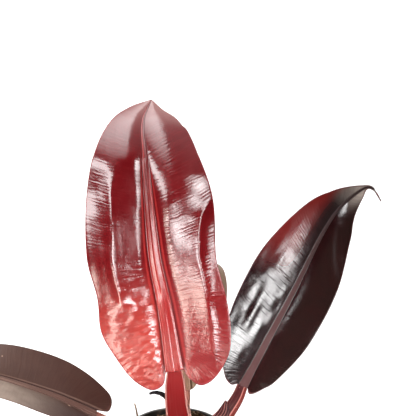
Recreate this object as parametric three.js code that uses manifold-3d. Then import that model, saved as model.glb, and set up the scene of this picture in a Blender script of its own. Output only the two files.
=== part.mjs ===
// Potted red sun philodendron: a young plant with four leaves in a round nursery pot.
// Units are millimetres and +Z is up. The origin is the middle of the pot's underside.
// The newest leaf shows its upper face towards -Y.

import * as THREE from 'three';
import { mergeVertices } from 'three/addons/utils/BufferGeometryUtils.js';
import Module from 'manifold-3d';

const wasm = await Module();
wasm.setup();

// Driving dimensions

const fitGap = 0.3;

const pot = {
  height: 78,
  rimRadius: 45,
  bandHeight: 10.5,
  mouthRadius: 43,
  footRadius: 32,
  footRound: 1.2,
  bandRound: 0.5,
  lipRound: 0.9,
  mouthRound: 0.4,
  wall: 1.4,
  floor: 1.8,
  sides: 56,
  drainHoles: 6,
  drainRadius: 3.5,
  drainCircle: 22.5,
  drainSides: 20,
};

const soil = {
  level: 68,
  heap: 6,
  heapToward: new THREE.Vector2(0.75, 0.66),
  heapStart: -0.2,
  lumps: 60,
  lumpHeights: [0.9, 2.2],
  lumpSpreads: [2.8, 5],
  seed: 11,
  rings: 8,
  sectors: 44,
};

const stem = {
  x: 7,
  y: 12,
  bottom: 40,
  top: 80,
  bottomRadius: 8.5,
  topRadius: 11,
  scarStep: 7,
  scarDepth: 0.6,
  rings: 14,
  sides: 24,
};

// What all blades share. The columns of corners lie at shares of the rib's half width, then at
// shares of the way from the rib to the margin. The rib stands proud by its full rise where its
// half width is fullRib or more, and fills at most ribLimit of a half's width. The rows of corners
// follow the side veins: these start closer together near the notch and bend on their way out,
// most of all in the lobes, which are the first lobeShare of the margin.
const blade = {
  rowSpread: 1.3,
  ribColumns: [0.45, 0.8, 1],
  bladeColumns: [0.12, 0.28, 0.46, 0.64, 0.82, 1],
  thickness: 0.8,
  ribRise: 0.7,
  fullRib: 4,
  ribLimit: 0.8,
  veinSweep: 1.3,
  veinBend: 1.4,
  lobeBend: 1.2,
  lobeShare: 0.15,
};

// A blade's margins are measured along the midrib in shares of its length, and across it in
// millimetres. The half width of the rib, the depth of its keel and the angles by which each half
// stands up are lists that run from the notch to the tip.
const newestLeaf = {
  rows: 26,
  midrib: [[0, 6, 138], [-7, 15, 188], [-15, 27, 227], [-20, 45, 272], [-23, 62, 302], [-25, 82, 322],
    [-19, 104, 333]],
  across: [[1, 0.03, 0], [1, 0, 0], [1, 0.05, 0]],
  leftMargin: [[0, 7], [-0.045, 11], [-0.055, 21], [-0.005, 34], [0.08, 44.5], [0.19, 53], [0.33, 50.5],
    [0.45, 53], [0.65, 48.5], [0.82, 37], [0.94, 16], [0.972, 9], [1, 0.6]],
  rightMargin: [[0, 7], [-0.035, 11], [-0.065, 20], [-0.035, 33], [0.05, 46], [0.18, 50], [0.36, 48],
    [0.6, 50.5], [0.8, 39], [0.93, 28.5], [0.972, 11], [1, 0.6]],
  ribHalfWidths: [7.2, 6.4, 5.6, 5, 4.3, 3.1, 1.6, 0.5],
  keelDepths: [8, 5.4, 4, 3.1, 2.3, 1.5, 0.8, 0.3],
  leftFold: [24, 20, 14, 14],
  leftCurl: [-6, -14, -14, -24],
  rightFold: [24, 20, 14, 14],
  rightCurl: [-10, -18, -16, -24],
  swells: [
    { side: -1, height: 2.5, from: 0.2, length: 0.35 },
    { side: -1, height: -2.5, from: 0.5, length: 0.35 },
    { side: 1, height: 2, from: 0.1, length: 0.3 },
    { side: 1, height: -2.5, from: 0.35, length: 0.35 },
  ],
};

const rightLeaf = {
  rows: 24,
  midrib: [[55.3, 18, 116], [73, 30, 147.5], [96, 46, 188], [120, 64, 233], [135, 74, 252],
    [153, 85, 262.5], [162, 89, 261], [170, 93, 248]],
  across: [[0.85, 0.1, -0.5], [0.85, 0, -0.5], [0.5, 0.1, -0.85]],
  leftMargin: [[0, 5], [-0.012, 11], [0.012, 20.5], [0.085, 31], [0.25, 42], [0.48, 42.5], [0.68, 29.5],
    [0.78, 16.5], [0.86, 6], [0.9, 1.9], [0.95, 1.4], [1, 0.6]],
  rightMargin: [[0, 4.5], [-0.015, 7], [-0.012, 10.5], [0.025, 16.5], [0.08, 23], [0.25, 32], [0.48, 31.5],
    [0.68, 23], [0.78, 14.5], [0.86, 7], [0.9, 1.9], [0.95, 1.4], [1, 0.6]],
  ribHalfWidths: [4.6, 3.4, 2.9, 2.4, 2, 1.6, 1.2, 0.5],
  keelDepths: [7, 4, 3, 2.4, 1.8, 1.2, 0.8, 0.3],
  leftFold: [18, 18, 18],
  leftCurl: [6, 0, 6],
  rightFold: [18, 18, 18],
  rightCurl: [6, 0, 6],
  swells: [
    { side: -1, height: -2, from: 0.05, length: 0.35 },
    { side: 1, height: 2, from: 0.3, length: 0.35 },
  ],
};

const leftLeaf = {
  rows: 20,
  midrib: [[-64, 0, 100], [-83, -1, 112], [-102, -2, 122], [-140, -4, 138], [-178, -6, 149],
    [-213, -8, 152], [-238, -9, 149]],
  across: [[0, 1, 0.2], [0, 1, 0.2], [0, 1, 0.2]],
  leftMargin: [[0, 5], [-0.05, 11], [-0.03, 22], [0.18, 32], [0.45, 32], [0.7, 22], [0.9, 7], [0.96, 2],
    [1, 0.6]],
  rightMargin: [[0, 5], [-0.055, 10], [-0.02, 24], [0.2, 33.5], [0.45, 31.5], [0.7, 21], [0.9, 7],
    [0.96, 2], [1, 0.6]],
  ribHalfWidths: [4.6, 3.2, 2.6, 2, 1.2, 0.5],
  keelDepths: [7, 4, 3, 2, 1, 0.3],
  leftFold: [22, 21, 19],
  leftCurl: [10, 9, 9],
  rightFold: [30, 27, 22],
  rightCurl: [16, 14, 14],
  swells: [
    { side: -1, height: 2, from: 0.2, length: 0.4 },
    { side: 1, height: -2, from: 0.4, length: 0.4 },
  ],
};

const backLeaf = {
  rows: 18,
  midrib: [[8, 22, 110], [9, 40, 143], [11, 62, 169], [13, 92, 182], [15, 125, 172], [17, 152, 148]],
  across: [[1, 0, 0], [1, 0, 0], [1, 0, 0]],
  leftMargin: [[0, 5], [0.015, 8], [0.06, 13], [0.13, 21], [0.25, 28], [0.5, 31], [0.75, 21], [0.92, 6],
    [0.96, 2], [1, 0.6]],
  rightMargin: [[0, 5], [0.015, 8], [0.06, 13], [0.13, 21], [0.25, 28], [0.5, 31], [0.75, 21], [0.92, 6],
    [0.96, 2], [1, 0.6]],
  ribHalfWidths: [4.6, 3.2, 2.6, 2, 1.2, 0.5],
  keelDepths: [7, 4, 3, 2, 1, 0.3],
  leftFold: [14, 12, 10],
  leftCurl: [0, -4, -8],
  rightFold: [14, 12, 10],
  rightCurl: [0, -4, -8],
  swells: [
    { side: -1, height: 2, from: 0.15, length: 0.4 },
    { side: 1, height: -2, from: 0.4, length: 0.4 },
  ],
};

// A petiole is carried along the middle of its flat upper face. Half widths and depths run from
// the foot to the blade, and the last entry meets the blade's rib.
const newestPetiole = {
  path: [[4.2, 7, 80.3], [2.6, 6.8, 92], [1, 6.5, 106], [0.4, 5.8, 124]],
  across: [[1, 0, 0], [1, 0.03, 0]],
  halfWidths: [10.5, 9.8, 9.2, 8.7, 8, 6.2],
  depths: [14, 12.5, 11, 10, 9.5, 8],
};

const rightPetiole = {
  path: [[13.5, 12, 72.5], [23, 11.5, 75.5], [32, 11.5, 81], [39.6, 12.5, 88.5],
    [46, 14.3, 97.5], [51.4, 16.3, 106.4]],
  across: [[0.8, -0.4, -0.45], [0.75, -0.45, -0.45], [0.85, 0.1, -0.5]],
  halfWidths: [9.5, 8.4, 7, 5.9, 5.3, 4.4],
  depths: [10.5, 9.5, 8.8, 8.4, 8, 7],
};

const leftPetiole = {
  path: [[3, 12, 73], [-12, 9, 81.5], [-32, 5, 86.5], [-52, 1.5, 92]],
  across: [[0.2, 1, 0.1], [0, 1, 0.2]],
  halfWidths: [10, 9, 7.4, 6.4, 5.6, 4.2],
  depths: [11, 10.5, 9.5, 8.5, 8, 7],
};

const backPetiole = {
  path: [[7, 15, 70], [6.5, 20, 80], [6, 21.5, 94]],
  across: [[1, 0, 0]],
  halfWidths: [9, 7.6, 6.6, 6, 5.6, 4.4],
  depths: [10, 9.5, 9, 8.5, 8, 7],
};

const petioleRings = 15;
const petioleBackSteps = 10;

// The upper face of a petiole's section: shares of the half width across, millimetres up.
const petioleFace = [[-1, -0.6], [-0.97, 0.3], [-0.86, 0.4], [-0.76, -0.3], [0, -0.5], [0.76, -0.3],
  [0.86, 0.4], [0.97, 0.3], [1, -0.6]];

// The sheath of the right leaf's petiole: a thin wing on the upper face with a rounded free end.
const sheath = {
  from: 0.12,
  to: 0.7,
  halfWidths: [7, 6.8, 6.2, 5.6, 4.7, 1.2],
  rise: 1.7,
  sink: 2.4,
  overhang: 2.2,
  rings: 11,
  sides: 12,
};

const bract = {
  path: [[-2, 18, 83], [-2.6, 17.5, 92], [-4.2, 16, 101], [-8, 14, 108.5], [-12.5, 12.5, 112.6],
    [-17, 11.5, 114], [-21, 10.5, 113.4]],
  across: [[0.6, 0.8, 0], [0.4, 0.9, 0], [0, 1, 0.1]],
  halfWidths: [3.6, 3.6, 3.4, 3, 2.6, 2, 0.9],
  thickness: [1.4, 1.6, 2, 2.2, 1.9, 1.5, 1],
  section: [[1, 0], [0.6, 1], [-0.6, 1], [-1, 0], [-0.6, -1], [0.6, -1]],
  rings: 14,
};

// Materials

const finish = (color, roughness) => new THREE.MeshStandardMaterial({ color, roughness, metalness: 0 });

const materials = {
  newestBlade: finish(0x8c1c22, 0.25),
  newestPetiole: finish(0x9a2a2a, 0.35),
  rightBlade: finish(0x2c0f12, 0.25),
  rightPetiole: finish(0x5a2220, 0.35),
  leftBlade: finish(0x5c3a30, 0.35),
  leftPetiole: finish(0x6e3f36, 0.4),
  backBlade: finish(0x76624c, 0.4),
  backPetiole: finish(0xa66a5e, 0.4),
  bract: finish(0x241a20, 0.8),
  stem: finish(0x6a4a38, 0.7),
  soil: finish(0x3a2a20, 0.95),
  pot: finish(0x2b2a29, 0.5),
};

// Curves and lists

const vector = (point) => new THREE.Vector3(...point);

const curveThrough = (points) => new THREE.CatmullRomCurve3(points.map(vector), false, 'catmullrom', 0.5);

// A smooth value at a share of the way through a list of numbers.
function smoothValue(values, share) {
  return curveThrough(values.map((value) => [value, 0, 0])).getPoint(share).x;
}

// A smooth direction at a share of the way through a list of directions.
function smoothDirection(directions, share) {
  if (directions.length === 1) {
    return vector(directions[0]).normalize();
  }
  return curveThrough(directions).getPoint(share).normalize();
}

// A repeatable run of numbers from 0 to 1.
function seededRandom(seed) {
  const factor = 16807;
  const modulus = 2147483647;
  let state = seed;
  return () => {
    state = (state * factor) % modulus;
    return state / modulus;
  };
}

// Solids

// A closed mesh from corner positions and triangles of corner numbers.
function meshGeometry(corners, triangles) {
  const geometry = new THREE.BufferGeometry();
  const positions = corners.flatMap((p) => [p.x, p.y, p.z]);
  geometry.setAttribute('position', new THREE.Float32BufferAttribute(positions, 3));
  geometry.setIndex(triangles.flat());
  return geometry;
}

// Rings of corners, all of one count and turning anticlockwise about the way they follow each
// other, are joined into a tube with a flat fan at each end.
function ringSolid(rings) {
  const count = rings[0].length;
  const corners = rings.flat();
  const triangles = [];
  for (let ring = 0; ring + 1 < rings.length; ring += 1) {
    for (let k = 0; k < count; k += 1) {
      const a = ring * count + k;
      const b = ring * count + (k + 1) % count;
      triangles.push([a, b, b + count], [a, b + count, a + count]);
    }
  }
  const middleOf = (ring) => ring.reduce((sum, p) => sum.add(p), new THREE.Vector3()).divideScalar(count);
  const first = corners.push(middleOf(rings[0])) - 1;
  const last = corners.push(middleOf(rings[rings.length - 1])) - 1;
  const lastRing = (rings.length - 1) * count;
  for (let k = 0; k < count; k += 1) {
    const next = (k + 1) % count;
    triangles.push([first, next, k], [last, lastRing + k, lastRing + next]);
  }
  return meshGeometry(corners, triangles);
}

// Two grids of corners, an upper and a lower face with alike triangles, joined round the edge.
function slabSolid(upper, lower) {
  const rows = upper.length;
  const columns = upper[0].length;
  const corners = [...upper.flat(), ...lower.flat()];
  const top = (i, j) => i * columns + j;
  const under = (i, j) => rows * columns + i * columns + j;
  const triangles = [];
  for (let i = 0; i + 1 < rows; i += 1) {
    for (let j = 0; j + 1 < columns; j += 1) {
      triangles.push([top(i, j), top(i, j + 1), top(i + 1, j + 1)]);
      triangles.push([top(i, j), top(i + 1, j + 1), top(i + 1, j)]);
      triangles.push([under(i, j), under(i + 1, j + 1), under(i, j + 1)]);
      triangles.push([under(i, j), under(i + 1, j), under(i + 1, j + 1)]);
    }
  }
  const wall = (i, j, k, l) => {
    triangles.push([top(i, j), under(k, l), top(k, l)], [top(i, j), under(i, j), under(k, l)]);
  };
  for (let j = 0; j + 1 < columns; j += 1) {
    wall(0, j, 0, j + 1);
    wall(rows - 1, j + 1, rows - 1, j);
  }
  for (let i = 0; i + 1 < rows; i += 1) {
    wall(i + 1, 0, i, 0);
    wall(i, columns - 1, i + 1, columns - 1);
  }
  return meshGeometry(corners, triangles);
}

// A mesh as a solid that can be joined and cut, and back.
function toSolid(geometry) {
  const bare = geometry.clone();
  bare.deleteAttribute('normal');
  bare.deleteAttribute('uv');
  const merged = mergeVertices(bare);
  return new wasm.Manifold(new wasm.Mesh({
    numProp: 3,
    vertProperties: merged.attributes.position.array,
    triVerts: new Uint32Array(merged.index.array),
  }));
}

function toGeometry(solid) {
  const cut = solid.getMesh();
  const geometry = new THREE.BufferGeometry();
  geometry.setAttribute('position', new THREE.BufferAttribute(new Float32Array(cut.vertProperties), 3));
  geometry.setIndex(new THREE.BufferAttribute(new Uint32Array(cut.triVerts), 1));
  return geometry;
}

// Leaf blades

// The frame of a blade at a distance along its midrib: where it is, the ways ahead, across to the
// right and up from the upper face. Past either end the midrib goes straight on.
function bladeFrame(leaf, along) {
  const share = THREE.MathUtils.clamp(along / leaf.length, 0, 1);
  const ahead = leaf.curve.getTangentAt(share);
  const across = smoothDirection(leaf.across, share);
  across.addScaledVector(ahead, -across.dot(ahead)).normalize();
  const up = new THREE.Vector3().crossVectors(across, ahead);
  const place = leaf.curve.getPointAt(share).addScaledVector(ahead, along - share * leaf.length);
  return { place, ahead, across, up };
}

// A margin in millimetres along and across, followed by its length.
function marginCurve(points, length) {
  return curveThrough(points.map(([share, across]) => [share * length, across, 0]));
}

function prepareLeaf(leaf) {
  const curve = curveThrough(leaf.midrib);
  const length = curve.getLength();
  const halves = {
    [-1]: { margin: marginCurve(leaf.leftMargin, length), fold: leaf.leftFold, curl: leaf.leftCurl },
    [1]: { margin: marginCurve(leaf.rightMargin, length), fold: leaf.rightFold, curl: leaf.rightCurl },
  };
  return { ...leaf, curve, length, halves };
}

// A vein leaves the midrib at a share of the length and ends at the same share of the margin.
// The half is flat over the rib, then folds up from it and curls along the vein.
function bladePoint(leaf, side, share, column) {
  const half = leaf.halves[side];
  const edge = half.margin.getPointAt(share);
  const start = leaf.length * share ** blade.veinSweep;
  const rib = Math.min(smoothValue(leaf.ribHalfWidths, share), blade.ribLimit * edge.y);
  const ribCount = blade.ribColumns.length;
  const distance = column < ribCount
    ? rib * blade.ribColumns[column]
    : rib + (edge.y - rib) * blade.bladeColumns[column - ribCount];
  const reach = distance / edge.y;
  const past = Math.max(distance - rib, 0);
  const bend = blade.veinBend + blade.lobeBend * (1 - Math.min(share / blade.lobeShare, 1));
  const along = start + (edge.x - start) * (past / (edge.y - rib)) ** bend;
  const alongShare = THREE.MathUtils.clamp(along / leaf.length, 0, 1);
  const fold = smoothValue(half.fold, alongShare);
  const curl = smoothValue(half.curl, alongShare);
  const angle = THREE.MathUtils.degToRad(fold + (curl - fold) * reach / 2);
  const out = Math.min(distance, rib) + past * Math.cos(angle);
  let height = past * Math.sin(angle);
  for (const swell of leaf.swells.filter((one) => one.side === side)) {
    const phase = THREE.MathUtils.clamp((alongShare - swell.from) / swell.length, 0, 1);
    height += swell.height * reach ** 2 * Math.sin(Math.PI * phase) ** 2;
  }
  const bulge = Math.sqrt(Math.max(1 - (distance / rib) ** 2, 0));
  const rise = blade.thickness / 2 + blade.ribRise * bulge * Math.min(rib / blade.fullRib, 1);
  const sink = blade.thickness / 2 + smoothValue(leaf.keelDepths, share) * bulge;
  const frame = bladeFrame(leaf, along);
  const middle = frame.place.addScaledVector(frame.across, side * out);
  return {
    upper: middle.clone().addScaledVector(frame.up, height + rise),
    lower: middle.clone().addScaledVector(frame.up, height - sink),
  };
}

// The blade on the midrib itself.
function midribPoint(leaf, share) {
  const rib = smoothValue(leaf.ribHalfWidths, share);
  const frame = bladeFrame(leaf, leaf.length * share ** blade.veinSweep);
  const rise = blade.thickness / 2 + blade.ribRise * Math.min(rib / blade.fullRib, 1);
  const sink = blade.thickness / 2 + smoothValue(leaf.keelDepths, share);
  return {
    upper: frame.place.clone().addScaledVector(frame.up, rise),
    lower: frame.place.clone().addScaledVector(frame.up, -sink),
  };
}

function bladeGeometry(leaf) {
  const columns = blade.ribColumns.length + blade.bladeColumns.length;
  const rows = [];
  for (let row = 0; row <= leaf.rows; row += 1) {
    const share = (row / leaf.rows) ** blade.rowSpread;
    const left = Array.from({ length: columns }, (_, k) => bladePoint(leaf, -1, share, columns - 1 - k));
    const right = Array.from({ length: columns }, (_, k) => bladePoint(leaf, 1, share, k));
    const middle = midribPoint(leaf, share);
    rows.push([...left, middle, ...right]);
  }
  return slabSolid(rows.map((row) => row.map((p) => p.upper)), rows.map((row) => row.map((p) => p.lower)));
}

// Petioles

// The section of a petiole: a flat upper face between two low margins, and a round back.
function petioleSection(halfWidth, depth, grow) {
  const upper = petioleFace.map(([x, y]) => [x * (halfWidth + grow), y + grow]);
  const edge = petioleFace[0][1];
  const back = [];
  for (let k = 1; k < petioleBackSteps; k += 1) {
    const turn = Math.PI * k / petioleBackSteps;
    back.push([(halfWidth + grow) * Math.cos(turn), edge - (depth + edge + grow) * Math.sin(turn)]);
  }
  return [...upper, ...back];
}

function petioleGeometry(petiole, leaf, grow) {
  const end = bladeFrame(leaf, 0);
  const foot = end.place.clone().addScaledVector(end.ahead, -fitGap);
  const path = curveThrough([...petiole.path, [foot.x, foot.y, foot.z]]);
  const rings = [];
  for (let ring = 0; ring <= petioleRings; ring += 1) {
    const share = ring / petioleRings;
    const ahead = ring === petioleRings ? end.ahead.clone() : path.getTangentAt(share);
    const across = ring === petioleRings ? end.across.clone() : smoothDirection(petiole.across, share);
    across.addScaledVector(ahead, -across.dot(ahead)).normalize();
    const up = new THREE.Vector3().crossVectors(across, ahead);
    const place = path.getPointAt(share);
    const halfWidth = smoothValue(petiole.halfWidths, share);
    const section = petioleSection(halfWidth, smoothValue(petiole.depths, share), grow);
    rings.push(section.map(([x, y]) => place.clone().addScaledVector(across, x).addScaledVector(up, y)));
  }
  return ringSolid(rings);
}

// The sheath wing lies along the left of the petiole's upper face.
function sheathGeometry(petiole, leaf, grow) {
  const end = bladeFrame(leaf, 0).place;
  const path = curveThrough([...petiole.path, [end.x, end.y, end.z]]);
  const rings = [];
  for (let ring = 0; ring <= sheath.rings; ring += 1) {
    const step = ring / sheath.rings;
    const share = sheath.from + (sheath.to - sheath.from) * step;
    const ahead = path.getTangentAt(share);
    const across = smoothDirection(petiole.across, share);
    across.addScaledVector(ahead, -across.dot(ahead)).normalize();
    const up = new THREE.Vector3().crossVectors(across, ahead);
    const half = smoothValue(sheath.halfWidths, step) + grow;
    const outer = smoothValue(petiole.halfWidths, share);
    const offset = Math.min(half - outer, 0) - sheath.overhang * step;
    const place = path.getPointAt(share).addScaledVector(across, offset);
    const corners = [];
    for (let k = 0; k < sheath.sides; k += 1) {
      const turn = 2 * Math.PI * k / sheath.sides;
      const rise = (Math.sin(turn) > 0 ? sheath.rise : sheath.sink) + grow;
      corners.push(place.clone().addScaledVector(across, half * Math.cos(turn))
        .addScaledVector(up, rise * Math.sin(turn)));
    }
    rings.push(corners.reverse());
  }
  return ringSolid(rings);
}

// The dry bract: a thin strip that stands behind the newest petiole and curls out to the left.
function bractGeometry() {
  const path = curveThrough(bract.path);
  const rings = [];
  for (let ring = 0; ring <= bract.rings; ring += 1) {
    const share = ring / bract.rings;
    const ahead = path.getTangentAt(share);
    const across = smoothDirection(bract.across, share);
    across.addScaledVector(ahead, -across.dot(ahead)).normalize();
    const up = new THREE.Vector3().crossVectors(across, ahead);
    const half = smoothValue(bract.halfWidths, share);
    const thick = smoothValue(bract.thickness, share) / 2;
    const place = path.getPointAt(share);
    rings.push(bract.section.map(([x, y]) => place.clone().addScaledVector(across, x * half)
      .addScaledVector(up, y * thick)).reverse());
  }
  return ringSolid(rings);
}

// Stem, soil and pot

function stemRing(radius, z) {
  return Array.from({ length: stem.sides }, (_, k) => {
    const turn = 2 * Math.PI * k / stem.sides;
    return new THREE.Vector3(stem.x + radius * Math.cos(turn), stem.y + radius * Math.sin(turn), z);
  });
}

// The stem: a short thick stalk with a shallow waist between the scars of old leaves.
function stemGeometry() {
  const rings = [];
  for (let ring = 0; ring <= stem.rings; ring += 1) {
    const share = ring / stem.rings;
    const z = THREE.MathUtils.lerp(stem.bottom, stem.top, share);
    const waist = (1 - Math.cos(2 * Math.PI * (z - stem.bottom) / stem.scarStep)) / 2;
    const radius = THREE.MathUtils.lerp(stem.bottomRadius, stem.topRadius, share);
    rings.push(stemRing(radius - stem.scarDepth * waist, z));
  }
  return ringSolid(rings);
}

// The room that the stem takes, with the fit gap round it.
function stemRoomGeometry() {
  return ringSolid([
    stemRing(stem.bottomRadius + fitGap, stem.bottom - fitGap),
    stemRing(stem.topRadius + fitGap, stem.top + fitGap),
  ]);
}

// The pot's inner wall at a height.
function potInside(z) {
  const low = pot.footRadius - pot.wall;
  return low + (pot.mouthRadius - low) * (z - pot.floor) / (pot.height - pot.floor);
}

function potGeometry() {
  const outsideAt = (z) => potInside(z) + pot.wall;
  const bandFoot = pot.height - pot.bandHeight;
  const lipCorner = pot.lipRound * (1 - Math.SQRT1_2);
  const profile = [
    [0, 0],
    [pot.footRadius - pot.footRound, 0],
    [pot.footRadius, pot.footRound],
    [outsideAt(bandFoot), bandFoot],
    [pot.rimRadius - pot.bandRound, bandFoot],
    [pot.rimRadius, bandFoot + pot.bandRound],
    [pot.rimRadius, pot.height - pot.lipRound],
    [pot.rimRadius - lipCorner, pot.height - lipCorner],
    [pot.rimRadius - pot.lipRound, pot.height],
    [pot.mouthRadius + pot.mouthRound, pot.height],
    [potInside(pot.height - pot.mouthRound), pot.height - pot.mouthRound],
    [potInside(pot.floor), pot.floor],
    [0, pot.floor],
  ];
  const shell = new THREE.LatheGeometry(profile.map(([r, z]) => new THREE.Vector2(r, z)), pot.sides);
  shell.rotateX(Math.PI / 2);
  let solid = toSolid(shell);
  for (let k = 0; k < pot.drainHoles; k += 1) {
    const turn = 2 * Math.PI * (k + 0.5) / pot.drainHoles;
    const depth = 3 * pot.floor;
    const hole = new THREE.CylinderGeometry(pot.drainRadius, pot.drainRadius, depth, pot.drainSides);
    hole.rotateX(Math.PI / 2);
    hole.translate(pot.drainCircle * Math.cos(turn), pot.drainCircle * Math.sin(turn), pot.floor / 2);
    solid = solid.subtract(toSolid(hole));
  }
  return toGeometry(solid);
}

function strewLumps() {
  const random = seededRandom(soil.seed);
  return Array.from({ length: soil.lumps }, () => {
    const turn = 2 * Math.PI * random();
    const radius = pot.mouthRadius * Math.sqrt(random());
    const height = THREE.MathUtils.lerp(...soil.lumpHeights, random());
    const spread = THREE.MathUtils.lerp(...soil.lumpSpreads, random());
    return { x: radius * Math.cos(turn), y: radius * Math.sin(turn), height, spread };
  });
}

const soilLumps = strewLumps();

// The soil's height: level, heaped towards one side, with rounded lumps strewn over it.
function soilHeight(x, y) {
  const toward = (x * soil.heapToward.x + y * soil.heapToward.y) / pot.mouthRadius;
  let z = soil.level + soil.heap * THREE.MathUtils.smoothstep(toward, soil.heapStart, 1);
  for (const lump of soilLumps) {
    const near = ((x - lump.x) ** 2 + (y - lump.y) ** 2) / lump.spread ** 2;
    z += lump.height * Math.exp(-near);
  }
  return z;
}

function soilGeometry() {
  const bottom = pot.floor + fitGap;
  const around = (radius, heightAt) => Array.from({ length: soil.sectors }, (_, k) => {
    const turn = 2 * Math.PI * k / soil.sectors;
    const x = radius * Math.cos(turn);
    const y = radius * Math.sin(turn);
    return new THREE.Vector3(x, y, heightAt(x, y));
  });
  const lowest = potInside(bottom) - fitGap;
  const edge = potInside(soil.level) - fitGap;
  const rings = [around(lowest, () => bottom), around(edge, () => soil.level)];
  for (let ring = soil.rings; ring > 0; ring -= 1) {
    rings.push(around(edge * ring / soil.rings, soilHeight));
  }
  return ringSolid(rings);
}

// The plant, built from the newest leaf outwards, each piece cut clear of those before it

const newest = prepareLeaf(newestLeaf);
const right = prepareLeaf(rightLeaf);
const left = prepareLeaf(leftLeaf);
const back = prepareLeaf(backLeaf);

const stemRoom = toSolid(stemRoomGeometry());
const newestPetioleSolid = toSolid(petioleGeometry(newestPetiole, newest, 0)).subtract(stemRoom);
const newestPetioleRoom = toSolid(petioleGeometry(newestPetiole, newest, fitGap));
const backPetioleSolid = toSolid(petioleGeometry(backPetiole, back, 0))
  .subtract(stemRoom).subtract(newestPetioleRoom);
const backPetioleRoom = toSolid(petioleGeometry(backPetiole, back, fitGap));
const rightPetioleSolid = toSolid(petioleGeometry(rightPetiole, right, 0))
  .add(toSolid(sheathGeometry(rightPetiole, right, 0)))
  .subtract(stemRoom).subtract(newestPetioleRoom).subtract(backPetioleRoom);
const rightPetioleRoom = toSolid(petioleGeometry(rightPetiole, right, fitGap))
  .add(toSolid(sheathGeometry(rightPetiole, right, fitGap)));
const leftPetioleSolid = toSolid(petioleGeometry(leftPetiole, left, 0))
  .subtract(stemRoom).subtract(newestPetioleRoom).subtract(backPetioleRoom).subtract(rightPetioleRoom);
const leftPetioleRoom = toSolid(petioleGeometry(leftPetiole, left, fitGap));
const bractSolid = toSolid(bractGeometry())
  .subtract(newestPetioleRoom).subtract(leftPetioleRoom).subtract(backPetioleRoom).subtract(stemRoom);

const soilSolid = toSolid(soilGeometry())
  .subtract(stemRoom).subtract(rightPetioleRoom).subtract(leftPetioleRoom).subtract(backPetioleRoom);

const pieces = [
  ['newest_leaf_blade', bladeGeometry(newest), materials.newestBlade],
  ['newest_leaf_petiole', toGeometry(newestPetioleSolid), materials.newestPetiole],
  ['right_leaf_blade', bladeGeometry(right), materials.rightBlade],
  ['right_leaf_petiole', toGeometry(rightPetioleSolid), materials.rightPetiole],
  ['left_leaf_blade', bladeGeometry(left), materials.leftBlade],
  ['left_leaf_petiole', toGeometry(leftPetioleSolid), materials.leftPetiole],
  ['back_leaf_blade', bladeGeometry(back), materials.backBlade],
  ['back_leaf_petiole', toGeometry(backPetioleSolid), materials.backPetiole],
  ['dry_bract', toGeometry(bractSolid), materials.bract],
  ['stem', stemGeometry(), materials.stem],
  ['soil', toGeometry(soilSolid), materials.soil],
  ['pot', potGeometry(), materials.pot],
];

const plant = new THREE.Group();
for (const [name, geometry, material] of pieces) {
  const mesh = new THREE.Mesh(geometry, material);
  mesh.name = name;
  plant.add(mesh);
}

export default plant;
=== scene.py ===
"""Looks of a potted red sun philodendron: four leaves, their petioles, a stem, soil and a pot.

The shape tables are in millimetres and degrees, and every mesh is in metres in the frame of the
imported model: +Z is up, and the newest leaf shows its upper face towards -Y.
"""

import math

import bpy
import numpy as np
from bpy.props import FloatProperty, FloatVectorProperty, IntProperty, PointerProperty
from mathutils import Euler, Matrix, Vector


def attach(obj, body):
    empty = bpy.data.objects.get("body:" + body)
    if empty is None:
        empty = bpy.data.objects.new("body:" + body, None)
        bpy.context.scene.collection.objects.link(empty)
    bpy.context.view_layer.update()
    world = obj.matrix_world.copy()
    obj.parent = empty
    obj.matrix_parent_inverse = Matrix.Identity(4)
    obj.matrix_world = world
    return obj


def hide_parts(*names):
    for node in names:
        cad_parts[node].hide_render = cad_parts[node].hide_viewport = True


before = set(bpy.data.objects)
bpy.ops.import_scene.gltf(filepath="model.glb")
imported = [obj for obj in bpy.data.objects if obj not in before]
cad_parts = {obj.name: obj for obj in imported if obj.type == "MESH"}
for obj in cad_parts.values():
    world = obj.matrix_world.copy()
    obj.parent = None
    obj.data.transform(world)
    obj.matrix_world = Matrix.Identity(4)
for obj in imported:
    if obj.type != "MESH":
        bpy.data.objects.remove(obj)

bl_info = {
    "name": "Potted red sun philodendron",
    "version": (1, 0, 0),
    "blender": (4, 5, 0),
    "location": "View3D > Sidebar > Plant",
    "description": "Dresses the frame of a potted plant with its leaves, petioles, stem, soil and pot",
    "category": "Add Mesh",
}

# A millimetre in metres, the body that each piece rides on, and the millimetres between pieces that meet.

MM = 0.001
BODY = "root"
FIT_GAP = 0.3

# Leaf shapes, with the same named values as the solids have. A midrib is a list of points, and the
# other lists run from the notch to the tip. Margins hold the share of the midrib's length and the
# millimetres across; -1 is the left half and 1 the right half, seen from above with the tip ahead.

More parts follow.
